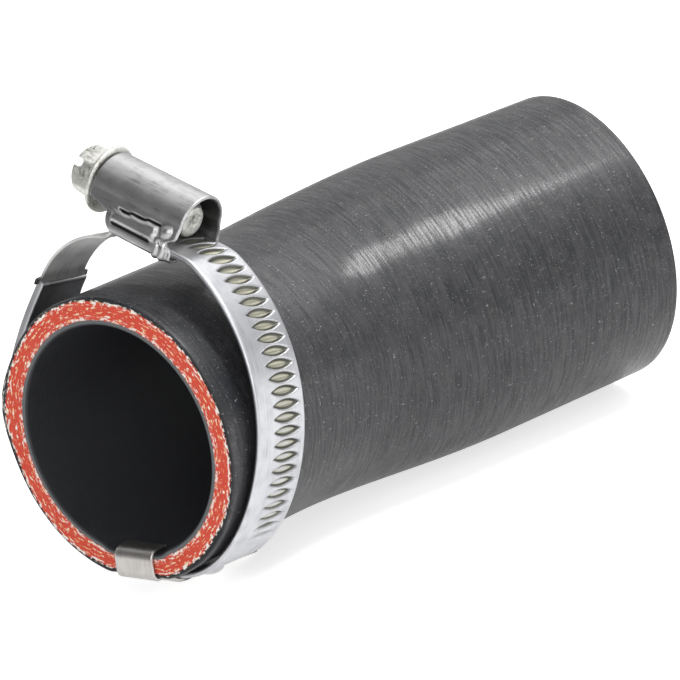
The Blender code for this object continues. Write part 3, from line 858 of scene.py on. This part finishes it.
@dataclass
class Clamp:
    """The worm drive clamp: band, spring insert and housing, in the clamp's leaning plane."""

    hose: Hose
    station: float = 2.4
    lean: float = 9.0
    yaw: float = 1.7
    width: float = 11.2
    thickness: float = 0.8
    gap: float = 0.3
    layer_gap: float = 0.1
    shift: Pair = (-6.66, 1.69)
    neck_end: float = 9.0
    neck_front: float = 0.15
    neck_back: float = 0.9
    tail_inset: float = 0.55
    band_columns: int = 34
    lip_height: float = 0.6
    left_radius: float = 60.0
    left_start: float = 172.0
    hook_height: float = 18.4
    clip_hold: float = 7.0
    hold_centre: float = -96.0
    hold_sharpness: float = 7.0
    tail_length: float = 10.2
    mouth_angle: float = 58.0
    screw_tilt: float = 12.0
    screw_crossing: float = 32.1
    worm_radius: float = 2.9
    barrel_radius: float = 4.5
    barrel_swell: float = 0.35
    sheet: float = 0.6
    housing_left: float = -10.7
    housing_right: float = 5.7
    band_entry: float = 4.3
    skirt_left: float = -6.8
    foot_round: float = 2.8
    waist_drop: float = 1.1
    slit_centre: float = 1.32
    slit_fall: float = 0.09
    crease_centre: float = 3.4
    ball: Pair = (3.8, 1.9)
    curls: Pair = (3.35, 4.45)
    curl_half: float = 0.62
    notch: float = 1.3
    notch_centre: float = 2.5
    notch_half: float = 0.55
    spring_width: float = 9.8
    spring_thickness: float = 0.5
    spring_centre: Pair = (-7.1, 15.4)
    spring_radius: float = 12.1
    spring_start: float = 94.0
    spring_columns: int = 20
    ear: float = 1.1
    saddle_right: float = 3.0
    saddle_left: float = -3.9
    groove_pitch: float = 1.85
    groove_count: int = 27
    groove_length: float = 6.6
    groove_wide: float = 1.6
    groove_depth: float = 0.6
    groove_slant: float = 2.0
    groove_offset: float = 1.25
    groove_lead: float = 1.6

    turn: np.ndarray = field(init=False)
    hug: float = field(init=False)
    band_drop: float = field(init=False)
    saddle_drop: float = field(init=False)
    fold_drop: float = field(init=False)

    def __post_init__(self) -> None:
        """Work out the clamp's turn and how far below the screw each layer lies."""
        self.turn = rotation(Axis.Z, self.yaw) @ rotation(Axis.X, -self.lean)
        self.hug = (self.hose.near_bore + self.hose.wall) / math.cos(math.radians(self.lean)) + self.gap
        self.band_drop = self.worm_radius + 2 * self.layer_gap
        self.saddle_drop = self.band_drop + self.thickness + self.layer_gap
        self.fold_drop = self.saddle_drop + self.spring_thickness + self.layer_gap

    def place(self, hose_place: Place) -> Place:
        """The clamp's frame: its plane is XZ and its front edge is at Y = 0."""
        return hose_place.child((0.0, self.station, 0.0), self.turn)

    def screw_place(self, clamp_place: Place) -> Place:
        """The screw's frame: X along it, from its head to its tip."""
        middle = (0.0, self.width / 2, self.screw_crossing)
        return clamp_place.child(middle, rotation(Axis.Y, self.screw_tilt))

    @staticmethod
    def arc(centre: Pair, radius: float, start: float, end: float) -> np.ndarray:
        """Points along an arc in the clamp's plane."""
        count = max(8, round(abs(math.radians(end - start)) * radius / 0.4))
        angle = np.radians(np.linspace(start, end, count + 1))
        return np.stack([centre[0] + radius * np.cos(angle), centre[1] + radius * np.sin(angle)], axis=1)

    def along_screw(self, distance: float | np.ndarray, drop: float) -> np.ndarray:
        """Points in the clamp's plane, along the screw's axis and below it."""
        tilt = math.radians(self.screw_tilt)
        c, s = math.cos(tilt), math.sin(tilt)
        return stacked(distance * c - drop * s, self.screw_crossing - distance * s - drop * c)

    @staticmethod
    def hermite(p0: np.ndarray, t0: np.ndarray, p1: np.ndarray, t1: np.ndarray) -> np.ndarray:
        """A cubic between two points with a given tangent at each."""
        s = np.linspace(0, 1, 25)[:, None]
        ends = (2 * s**3 - 3 * s**2 + 1) * p0 + (3 * s**2 - 2 * s**3) * p1
        return ends + (s**3 - 2 * s**2 + s) * t0 + (s**3 - s**2) * t1

    def band_line(self) -> np.ndarray:
        """The band's inner line, from its hook round the hose to its tail."""
        lean = self.left_radius - self.hug
        way = math.radians(self.left_start)
        centre = (-lean * math.cos(way), -lean * math.sin(way))
        top = 180.0 - math.degrees(math.asin((self.hook_height - centre[1]) / self.left_radius))
        loop_angle = math.degrees(math.atan2(-self.shift[1], -self.shift[0]))
        loop_radius = self.hug + math.hypot(*self.shift)
        lines = [
            self.arc(centre, self.left_radius, top, self.left_start),
            self.arc((0.0, 0.0), self.hug, self.left_start, 360.0 + loop_angle)[1:],
            self.arc(self.shift, loop_radius, loop_angle, self.mouth_angle)[1:],
        ]
        last, tilt, end = lines[-1][-1], math.radians(self.screw_tilt), math.radians(self.mouth_angle)
        entry = self.along_screw(self.band_entry, self.band_drop + self.thickness)
        reach = 0.9 * float(np.linalg.norm(entry - last))
        inward = np.array([-math.cos(tilt), math.sin(tilt)])
        heading = np.array([-math.sin(end), math.cos(end)])
        lines.append(self.hermite(last, heading * reach, entry, inward * reach)[1:])
        lines.append(entry + inward * np.linspace(0, self.tail_length, 30)[1:, None])
        return np.concatenate(lines)

    def band_frames(self, line: np.ndarray) -> tuple[np.ndarray, np.ndarray]:
        """Front edge points and the way back of a line in the clamp's plane.

        Near the bottom the clip pushes the band back and lays it flat along the hose:
        the hold is a raised cosine of the polar angle to a power.

        Args:
            line: points in the clamp's plane.

        Returns:
            The front edge's points and unit directions across the band.
        """
        angle = math.radians(self.hold_centre) - np.arctan2(line[:, 1], line[:, 0])
        hold = ((0.5 + 0.5 * np.cos(angle)) ** self.hold_sharpness)[:, None]
        along_hose = self.turn.T @ np.array([0.0, 1.0, 0.0])
        back = unit(np.array([0.0, 1.0, 0.0]) * (1 - hold) + along_hose * hold)
        return stacked(line[:, 0], 0.0, line[:, 1]) + along_hose * self.clip_hold * hold, back

    def grooves(self, run: np.ndarray, across: np.ndarray) -> np.ndarray:
        """Depth of the pressed thread: slanted lenses at an even pitch.

        Each lens lies between two parabolas that meet at its pointed ends, and its
        floor is round across it.

        Args:
            run: distance along the band from its hook, rows by 1.
            across: distance from the front edge, 1 by columns.

        Returns:
            A depth for every corner.
        """
        depth = np.zeros(np.broadcast(run, across).shape)
        slant = math.radians(self.groove_slant)
        y = across - self.width / 2 - self.groove_offset
        for i in range(-3, self.groove_count):
            x = run[-1] - self.tail_length - self.groove_lead - i * self.groove_pitch - run
            a = x * math.cos(slant) - y * math.sin(slant)
            b = x * math.sin(slant) + y * math.cos(slant)
            share = np.clip(1 - (b / (self.groove_length / 2)) ** 2, 1e-6, None)
            lens = np.clip(1 - (a / (self.groove_wide / 2 * share)) ** 2, 0, None)
            fade = 1.0 if i < self.groove_count - 4 else 0.25 * (self.groove_count - i)
            depth = np.maximum(depth, fade * self.groove_depth * lens**0.8 * share**0.5)
        return depth

    def band_rows(self) -> np.ndarray:
        """The band's line, with close rows along its pressed thread and wide ones on its plain run."""
        line = rows_of(self.band_line(), 0.13, self.thickness / 2)
        run = distances(line)
        first = run[-1] - self.tail_length - self.groove_lead - (self.groove_count + 1) * self.groove_pitch
        plain = (run > 2.0) & (run < first)
        return line[~plain | (np.arange(len(run)) % 4 == 0)]

    def build_band(self, place: Place, finish: Material) -> None:
        """The band, with its pressed thread, whose painted groove shade fades out far from the screw, and its
        neck.
        """
        line = self.band_rows()
        front, back = self.band_frames(line)
        run = distances(line)
        neck = ramp(run, self.neck_end, 1.0)
        inset = self.tail_inset * ramp(run, run[-1] - 10.5, run[-1] - 9.0)
        start, end = self.neck_front * neck + inset, self.width - self.neck_back * neck - inset
        run = run[:, None]
        fraction = spaced(1.0, self.band_columns, self.thickness / 2 / self.width)
        across = start[:, None] + (end - start)[:, None] * fraction
        depth = self.grooves(run, across)
        lip = self.lip_height * ramp(run, 17.0, 12.0) * ramp(across, 1.1, 0.7)
        shape = ribbon(front, back, start, end, self.thickness, self.band_columns, lip - depth)
        # painted shade on the band's hook end, away from its front edge
        rim = 0.15 * ramp(run, 0.9, 0.5) * ramp(across, 1.2, 1.6)
        # painted shade on the band's inner side near its hook
        behind = 0.09 * ramp(run, self.neck_end, 6.0)
        # painted shade in the grooves, with the floors' olive grey deeper in
        pressed = depth / self.groove_depth
        # the painted groove shade fades out far from the screw
        groove_shade_fade = 0.6 * ramp(run, run[-1] - 24.0, run[-1] - 56.0)
        floor = ramp(pressed, 0.62, 0.95)
        pressed = pressed * (1 - 1.1 * groove_shade_fade * (1 - floor)) + groove_shade_fade * floor
        hollow = two_sided(np.maximum(pressed, rim), np.maximum(behind, rim))
        obj = piece("clamp_band_strip", shape, place, finish, hollow=hollow)
        install(obj, Body.HOSE, "band_steel", "clamp_band")

    def spring_line(self) -> np.ndarray:
        """The spring's inner line: saddle, a bend down, and the bow to the hook."""
        drop = self.saddle_drop + self.spring_thickness
        saddle = self.along_screw(np.linspace(self.saddle_right, self.saddle_left, 24), drop)
        rise = self.hook_height - self.layer_gap - self.spring_centre[1]
        end = 180.0 - math.degrees(math.asin(rise / self.spring_radius))
        bow = self.arc(self.spring_centre, self.spring_radius - self.spring_thickness, self.spring_start, end)
        reach = float(np.linalg.norm(bow[0] - saddle[-1]))
        tilt, start = math.radians(self.screw_tilt), math.radians(self.spring_start)
        lead = np.array([-math.cos(tilt), math.sin(tilt)]) * reach
        leave = np.array([-math.sin(start), math.cos(start)]) * reach
        return np.concatenate([saddle, self.hermite(saddle[-1], lead, bow[0], leave)[1:-1], bow])

    def build_spring(self, place: Place, finish: Material) -> None:
        """The spring insert, with an ear on each side where it hooks into the band."""
        line = rows_of(self.spring_line(), 0.3, self.spring_thickness / 2)
        run = distances(line)
        ears = ramp(run, run[-1] - self.ear, run[-1] - 0.8)
        margin = (self.width - self.spring_width) / 2
        start, end = margin - self.ear * ears, self.width - margin + 0.9 * ears
        back = np.broadcast_to(np.array([0.0, 1.0, 0.0]), (len(line), 3))
        front = stacked(line[:, 0], 0.0, line[:, 1])
        shape = ribbon(front, back, start, end, self.spring_thickness, self.spring_columns)
        # painted shade on the spring's hook end, darker on the ears' edges
        dark = 0.17 * ramp(run, run[-1] - 3.4, run[-1] - 1.0)[:, None]
        dark = np.maximum(dark, 0.3 * ears[:, None] * rim_columns(self.spring_columns))
        obj = piece("spring_strip", shape, place, finish, hollow=two_sided(dark, dark))
        install(obj, Body.HOSE, "spring_steel", "spring_insert")

    def housing_section(self) -> np.ndarray:
        """The housing's outer section as (across, up) points, from its front foot to its rear one."""
        wall = self.width / 2 + 0.15
        half = self.barrel_radius + self.barrel_swell
        low = -self.fold_drop - self.sheet
        side = [
            (wall - 2.2, low),
            (wall - 0.5, low),
            (wall, low + 0.5),
            (wall, -self.band_drop - 0.6),
            (wall - 0.25, -self.band_drop + 0.8),
            (half + 0.2, -0.6),
        ]
        crown = [(half * math.cos(t), self.barrel_radius * math.sin(t)) for t in np.linspace(0, math.pi, 33)]
        line = np.array(side + crown + [(-x, z) for x, z in reversed(side)])[::-1]
        return rows_of(softened(line, 2), 0.28, self.sheet / 2)

    def housing_ends(self, section: np.ndarray) -> tuple[np.ndarray, np.ndarray]:
        """Where each row of the housing starts and ends along the screw.

        The start steps in below the barrel and turns in round at the foot, and the end
        has a notch in the front wall, a bell curve of the height.
        """
        drop = -section[:, 1]
        step = smoothstep((drop - self.waist_drop) / self.waist_drop)
        left = self.housing_left + (self.skirt_left - self.housing_left) * step
        turned_in = np.clip((drop - self.fold_drop - self.sheet + self.foot_round) / self.foot_round, 0, 1)
        left = left + self.foot_round * (1 - np.sqrt(1 - turned_in**2))
        notch = np.exp(-(((drop - self.notch_centre) / self.notch_half) ** 2)) * (section[:, 0] < 0)
        return left[:, None], (self.housing_right - self.notch * notch)[:, None]

    def build_housing(self, place: Place, finish: Material) -> None:
        """The screw housing, with its waist slit, raised side panels and turned out feet.

        Args:
            place: the screw's frame.
            finish: its material.
        """
        section = self.housing_section()
        slope = np.gradient(section, axis=0)
        outward = unit(np.stack([-slope[:, 1], slope[:, 0]], axis=1))
        outward = outward * np.sign((outward * section).sum())
        left, right = self.housing_ends(section)
        fraction = spaced(1.0, 110, self.sheet / 2 / (self.housing_right - self.housing_left))
        x = left + (right - left) * fraction
        drop = np.broadcast_to(-section[:, 1:], x.shape)
        high = drop + self.slit_fall * (x + 5.0)
        panel = pad(x, -5.6, 2.2, 0.6) * ramp(high, 1.6, 1.9) * ramp(drop, 3.15, 2.85)
        slit = pad(x, -4.9, 2.6, 0.5) * pad(high - self.slit_centre, -0.1, 0.1, 0.2)
        crease = pad(x, -5.4, 1.6, 0.5) * pad(drop - self.crease_centre, -0.08, 0.08, 0.18)
        ball = np.clip(1 - ((x - self.ball[0]) ** 2 + (high - self.ball[1]) ** 2) / 0.8, 0, None) ** 0.7
        lips = np.maximum(*(1 - ((x - middle) / self.curl_half) ** 2 for middle in self.curls))
        curl = ramp(drop, 2.4, 3.1) * ramp(drop, self.fold_drop + 0.5, self.fold_drop)
        curl = np.sqrt(np.clip(lips, 0, None)) * curl
        relief = 0.36 * panel - 0.4 * slit - 0.26 * crease + 0.45 * ball + 0.8 * curl
        edge = self.sheet / 2
        run = distances(section)[:, None]
        half = edge * rounded(np.minimum(run, run[-1] - run), edge)
        half = half * rounded(np.minimum(x - left, right - x), edge)
        normal = stacked(0.0, outward[:, :1], outward[:, 1:])
        surface = stacked(x, section[:, :1], section[:, 1:])
        shape = pillow(surface - normal * edge, normal, half, relief, stacked(x, run, 0.0))
        # painted shade on the inner side, darkest up under the barrel, and in the slit and crease
        housing_inner_shade = 0.20 * ramp(drop, self.band_drop, self.waist_drop)
        hollow = two_sided(np.clip(slit + crease, 0, 1), housing_inner_shade)
        obj = piece("housing_shell", shape, place, finish, hollow=hollow)
        install(obj, Body.HOSE, "housing_steel", "screw_housing")


@dataclass
class WormScrew:
    """The screw: plain and threaded shank, flange, and a slotted hexagon head."""

    clamp: Clamp
    root: float = 2.4
    crest: float = 3.0
    tip: float = 4.3
    tip_radius: float = 2.2
    flange_radius: float = 5.1
    flange_thickness: float = 0.9
    face_radius: float = 3.6
    flats: float = 7.0
    head_height: float = 4.0
    chamfer: float = 1.1
    chamfer_radius: float = 3.9
    chamfer_fall: float = 0.7
    corner_round: float = 0.12
    slot_width: float = 1.3
    slot_depth: float = 1.7
    slot_turn: float = 63.0
    pitch: float = 1.85
    thread_start: float = -8.6

    @property
    def seat(self) -> float:
        """Where the flange meets the housing, along the screw."""
        return self.clamp.housing_left - self.clamp.gap

    def shank(self) -> Shape:
        """The shank's grid: its radius rises by a worm ridge, a cosine of the way round and along."""
        run = np.linspace(self.seat + 0.05, self.tip - 0.5, 130)
        x = np.concatenate([[self.seat, self.seat], run, self.tip - np.array([0.1, 0.0, 0.05, 0.2])])
        tip = self.tip_radius * np.array([1.0, 0.9, 0.5, 0.0])
        base = np.concatenate([[0.0], np.full(131, self.root), tip])
        angle = angles(60)
        phase = x[:, None] / self.pitch + angle / (2 * math.pi)
        ridge = (0.5 + 0.5 * np.cos(2 * math.pi * phase)) ** 1.5 * (self.crest - self.root)
        active = ramp(x, self.thread_start - 0.5, self.thread_start) * ramp(x, self.tip - 0.3, self.tip - 1.2)
        return turned(x, base[:, None] + ridge * active[:, None], angle)

    def flange(self) -> Shape:
        """The flange: a disc with a rounded rim."""
        left, t = self.seat, self.flange_thickness
        turn = np.linspace(0, math.pi, 13)
        x = np.concatenate([[left, left], left - t / 2 + t / 2 * np.cos(turn), [left - t, left - t]])
        rim = self.flange_radius - t / 2 + t / 2 * np.sin(turn)
        radius = np.concatenate([[0.0, self.root], rim, [self.face_radius, 0.0]])
        return turned(x, radius[:, None], angles(96))

    def head(self) -> Shape:
        """The hexagon: a radius that follows six flats, capped by a cone for its chamfer."""
        top, start = self.head_height, self.head_height - self.chamfer
        plain = np.linspace(0.2, start - 0.1, 8)
        depth = np.concatenate([[-0.3, -0.3, 0.0], plain, np.linspace(start, top, 12)])
        angle = angles(144)
        turn = np.degrees(angle) % 60.0 - 30.0
        corner = self.flats / 2 / np.cos(np.radians(turn))
        corner = corner - self.corner_round * np.exp(-(((np.abs(turn) - 30.0) / 3.0) ** 2))
        fall = np.clip((depth - start) / self.chamfer, 0, None) ** 1.6
        cone = self.chamfer_radius - self.chamfer_fall * fall
        radius = np.minimum(corner, cone[:, None])
        radius[0] = 0.0
        radius = np.concatenate([radius, radius[-1:] * 0.9, radius[:1]])
        x = self.seat - self.flange_thickness - np.concatenate([depth, [top, top]])
        return turned(x, radius, math.pi / 2 - angle)

    def slot_tool(self) -> Shape:
        """The driver slot's solid: a long bar with a round bottom across the head's face."""
        left = self.seat - self.flange_thickness - self.head_height
        r = self.slot_width / 2
        turn = np.linspace(0, math.pi, 9)
        bottom = stacked(left + self.slot_depth - r + r * np.sin(turn), -r * np.cos(turn))
        outline = np.concatenate([[[left - 2.0, -r]], bottom, [[left - 2.0, r]]])
        middle = outline.mean(axis=0)
        ring = middle + (outline - middle) * np.array([0.0, 1.0, 1.0, 0.0])[:, None, None]
        lengths = np.array([-9.0, -9.0, 9.0, 9.0])[:, None]
        points = stacked(ring[..., 0], ring[..., 1], lengths) @ rotation(Axis.X, self.slot_turn).T
        return Shape(points, grid_faces(4, len(outline), False, True), points)

    def build(self, place: Place, finish: Material) -> None:
        """Build the shank, the flange and the head, which all ride on the screw."""
        head = piece("screw_head", self.head(), place, finish)
        cut(head, piece("slot_tool", self.slot_tool(), place, finish))
        shank = piece("screw_shank", self.shank(), place, finish)
        for obj in (shank, piece("screw_flange", self.flange(), place, finish), head):
            obj.data.set_sharp_from_angle(angle=CREASE)
            install(obj, Body.SCREW, "screw_zinc", "worm_screw")


@dataclass
class Clip:
    """The retaining clip under the near end, and its rivet."""

    hose: Hose
    clamp: Clamp
    width: float = 7.2
    thickness: float = 0.6
    columns: int = 24
    angle: float = 10.2
    skew: float = 0.5
    gap: float = 0.1
    strap_gap: float = 0.3
    seat_gap: float = 0.1
    inner_leg: float = 2.9
    crest: float = 1.0
    heel: float = 0.75
    rise_start: float = 1.2
    rise_end: float = 3.4
    rise: float = 0.8
    knee: float = 9.3
    knee_rise: float = 0.15
    tip: float = 23.0
    tip_depth: float = 24.02
    tip_round: float = 1.2
    rivet_offset: float = 1.5
    rivet_station: float = 13.6
    rivet_head: float = 2.2
    rivet_rise: float = 1.3
    rivet_shank: float = 1.25

    def place(self, hose_place: Place) -> Place:
        """The clip's frame, turned round the hose's axis so that it hangs straight down."""
        return hose_place.child((0.0, 0.0, 0.0), rotation(Axis.Y, -self.angle) @ rotation(Axis.Z, -self.skew))

    def strap(self) -> np.ndarray:
        """The strap's inner line behind the band's front edge: its seat, its knee and its tip."""
        polar = math.radians(self.angle - 90)
        point = np.array([[self.clamp.hug * math.cos(polar), self.clamp.hug * math.sin(polar)]])
        front, _ = self.clamp.band_frames(point)
        spot = self.clamp.turn @ front[0] + np.array([0.0, self.clamp.station, 0.0])
        seat = math.hypot(spot[0], spot[2]) + self.clamp.thickness + self.seat_gap
        knee = (self.knee, seat + self.knee_rise)
        return np.array([(spot[1] - self.strap_gap, seat), knee, (self.tip, self.tip_depth)])

    def depth(self, along: float) -> float:
        """The strap's distance from the hose's axis behind its knee."""
        line = self.strap()
        return float(np.interp(along, line[:, 0], line[:, 1]))

    def line(self) -> np.ndarray:
        """The clip's inner line as (station, distance from the axis) points, from its inner leg."""
        inner = self.hose.press_bore - self.gap
        outer = self.hose.press_cover + self.gap
        front, c, h = -self.gap, self.crest, self.heel
        turn = np.linspace(0, math.pi / 2, 9)
        flat = [(front + h + 0.3, outer), (self.rise_start, outer), (self.rise_end, outer + self.rise)]
        tail = np.array([*flat, *self.strap()])
        crest = stacked(front + c - c * np.sin(turn), inner + c - c * np.cos(turn))
        heel = stacked(front + h - h * np.cos(turn), outer - h + h * np.sin(turn))
        return np.concatenate([[(self.inner_leg, inner)], crest, heel, softened(tail, 3)])

    def build(self, place: Place, finish: Material, rivet_finish: Material) -> None:
        """Build the strap and the rivet."""
        line = rows_of(self.line(), 0.25, self.thickness / 2)
        across = np.broadcast_to(np.array([-1.0, 0.0, 0.0]), (len(line), 3))
        run = distances(line)
        half = self.width / 2 - self.tip_round * (1 - rounded(run[-1] - run + 0.02, self.tip_round))
        inner = stacked(0.0, line[:, 0], -line[:, 1])
        shape = ribbon(inner, across, -half, half, self.thickness, self.columns)
        # painted shade along the strap's side edges, behind its heel
        shaded = 0.3 * ramp(line[:, :1], 4.0, 7.0) * rim_columns(self.columns)
        strap = piece("clip_strap", shape, place, finish, hollow=two_sided(shaded, shaded))
        install(strap, Body.HOSE, "clip_steel", "retaining_clip")
        self.build_rivet(place, rivet_finish)

    def build_rivet(self, place: Place, finish: Material) -> None:
        """Build the rivet, square to the strap behind its knee."""
        top, foot = self.thickness, -(self.clamp.thickness + self.gap)
        turn = np.linspace(0, math.pi / 2, 16)
        x = np.concatenate([top + self.rivet_rise * np.cos(turn), [top, foot, foot]])
        radius = np.concatenate([self.rivet_head * np.sin(turn), [self.rivet_shank, self.rivet_shank, 0.0]])
        spot = (self.rivet_offset, self.rivet_station, -self.depth(self.rivet_station))
        slope = math.degrees(math.atan2(self.tip_depth - self.depth(self.knee), self.tip - self.knee))
        turn_out = rotation(Axis.X, 180 - slope) @ rotation(Axis.Y, -90)
        shape = turned(x, radius[:, None], angles(48))
        rivet = piece("strap_rivet", shape, place.child(spot, turn_out), finish)
        rivet.data.set_sharp_from_angle(angle=RIVET_CREASE)
        install(rivet, Body.HOSE, "rivet_steel", "clip_rivet")


def facing(right: np.ndarray, up: np.ndarray, back: np.ndarray, spot: np.ndarray) -> Matrix:
    """The matrix of a camera or lamp from its three axes and its place."""
    matrix = np.eye(4)
    matrix[:3] = np.stack([right, up, back, spot], axis=1)
    return Matrix(matrix.tolist())


@dataclass(frozen=True)
class Lamp:
    """A soft square lamp that faces the object."""

    name: str
    spot: Triple
    size: float
    power: float

    def build(self) -> None:
        """Place the lamp."""
        data = bpy.data.lights.new(self.name, "AREA")
        data.size, data.energy = self.size, self.power
        back = unit(np.array(self.spot) - np.array([0.0, 0.0, 0.03]))
        right = unit(np.cross([0.0, 0.0, 1.0], back))
        linked(self.name, data).matrix_world = facing(right, np.cross(back, right), back, self.spot)


@dataclass
class Studio:
    """Camera, lamps, floor and background."""

    eye: Triple = (240.8, -279.3, 158.6)
    right: Triple = (0.8080, 0.5889, 0.0094)
    down: Triple = (0.2206, -0.2879, -0.9318)
    lens: float = 149.8
    floor_size: float = 3.0
    floor_drop: float = 0.0002
    floor_colour: Triple = (0.80, 0.80, 0.80)
    floor_seen: float = 0.68
    fill: float = 0.55
    dark_side: Triple = (-0.46, -0.62, 0.63)
    far_side: Triple = (-0.52, -0.85, 0.0)
    lamps: tuple[Lamp, ...] = (
        Lamp("key", (0.15, 0.75, 0.95), 0.9, 4.4),
        Lamp("front", (0.6, -0.85, 0.6), 0.8, 4.2),
        Lamp("streak", (0.295, 0.19, 0.54), 0.15, 2.2),
    )

    def camera(self, place: Place) -> None:
        """The photo's camera, placed from the hose's near end."""
        data = bpy.data.cameras.new("camera")
        data.lens, data.sensor_width, data.clip_start = self.lens, 36.0, 0.01
        cam = linked("camera", data)
        right = unit(place.axes @ np.array(self.right))
        up = -unit(place.axes @ np.array(self.down))
        up = unit(up - right * (up @ right))
        cam.matrix_world = facing(right, up, np.cross(right, up), place.put(np.array(self.eye)))
        bpy.context.scene.camera = cam

    def world(self) -> None:
        """White for the camera, a graded studio for reflections, and soft fill."""
        world = bpy.data.worlds.new("studio")
        bpy.context.scene.world = world
        world.use_nodes = True
        n = Nodes(world.node_tree)
        ray = n.add("LightPath").outputs
        way = n.add("TexCoord").outputs["Generated"]
        height = n.add("SeparateXYZ", {0: way}).outputs[2]
        room = n.between(n.dot(way, self.dark_side), 0.74, 0.965, 1.0, 0.06)
        glossy = n.times(ray["Is Glossy Ray"], n.between(height, 0.0, 0.4, 0.45, 0.92), room)
        seen = n.total(ray["Is Camera Ray"], ray["Is Transmission Ray"], glossy, clamp=True)
        strength = n.total(seen, (ray["Is Diffuse Ray"], self.fill))
        n.fill(world.node_tree.nodes["Background"], {"Strength": strength, "Color": (1, 1, 1, 1)})

    def floor(self) -> None:
        """A plain pale floor that looks white to the camera but keeps the object's shadow."""
        h, z = self.floor_size, -self.floor_drop
        mesh = bpy.data.meshes.new("floor")
        mesh.from_pydata([(-h, -h, z), (h, -h, z), (h, h, z), (-h, h, z)], [], [(0, 1, 2, 3)])
        linked("floor", mesh)
        mat, n, shader = new_material("pale_floor")
        mesh.materials.append(mat)
        ray = n.add("LightPath").outputs
        away = n.dot(n.add("TexCoord").outputs["Object"], self.far_side)
        mirrored = n.times(ray["Is Glossy Ray"], n.between(away, 0.08, 0.40, 0.54, 0.24))
        n.fill(shader, {
            "Base Color": (*self.floor_colour, 1),
            "Roughness": 1.0,
            "Specular IOR Level": 0.0,
            "Emission Color": (1, 1, 1, 1),
            "Emission Strength": n.total((ray["Is Camera Ray"], self.floor_seen), mirrored),
        })

    def build(self, place: Place) -> None:
        """Set up the whole studio."""
        self.camera(place)
        self.world()
        self.floor()
        for lamp in self.lamps:
            lamp.build()
        bpy.context.scene.view_settings.view_transform = "Standard"


def corners(bounds: tuple) -> list[list[float]]:
    """A box's lowest and highest corners as plain numbers."""
    return [[float(c) for c in corner] for corner in bounds]


def main() -> None:
    """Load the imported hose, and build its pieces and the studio."""
    logging.basicConfig(level=logging.INFO, format="%(message)s")
    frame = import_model()
    effects, finishes = Effects(), Finishes()
    hose = Hose()
    hose_place = hose.place(frame["record"])
    hose.build(hose_place, finishes.rubber.build(effects))
    clamp = Clamp(hose)
    clamp_place = clamp.place(hose_place)
    screw_place = clamp.screw_place(clamp_place)
    clamp.build_band(clamp_place, finishes.band.build(effects))
    clamp.build_spring(clamp_place, finishes.spring.build(effects))
    clamp.build_housing(screw_place, finishes.housing.build(effects))
    WormScrew(clamp).build(screw_place, finishes.screw.build(effects))
    clip = Clip(hose, clamp)
    clip.build(clip.place(hose_place), finishes.clip.build(effects), finishes.rivet.build(effects))
    Studio().build(hose_place)


if __name__ == "__main__":
    main()
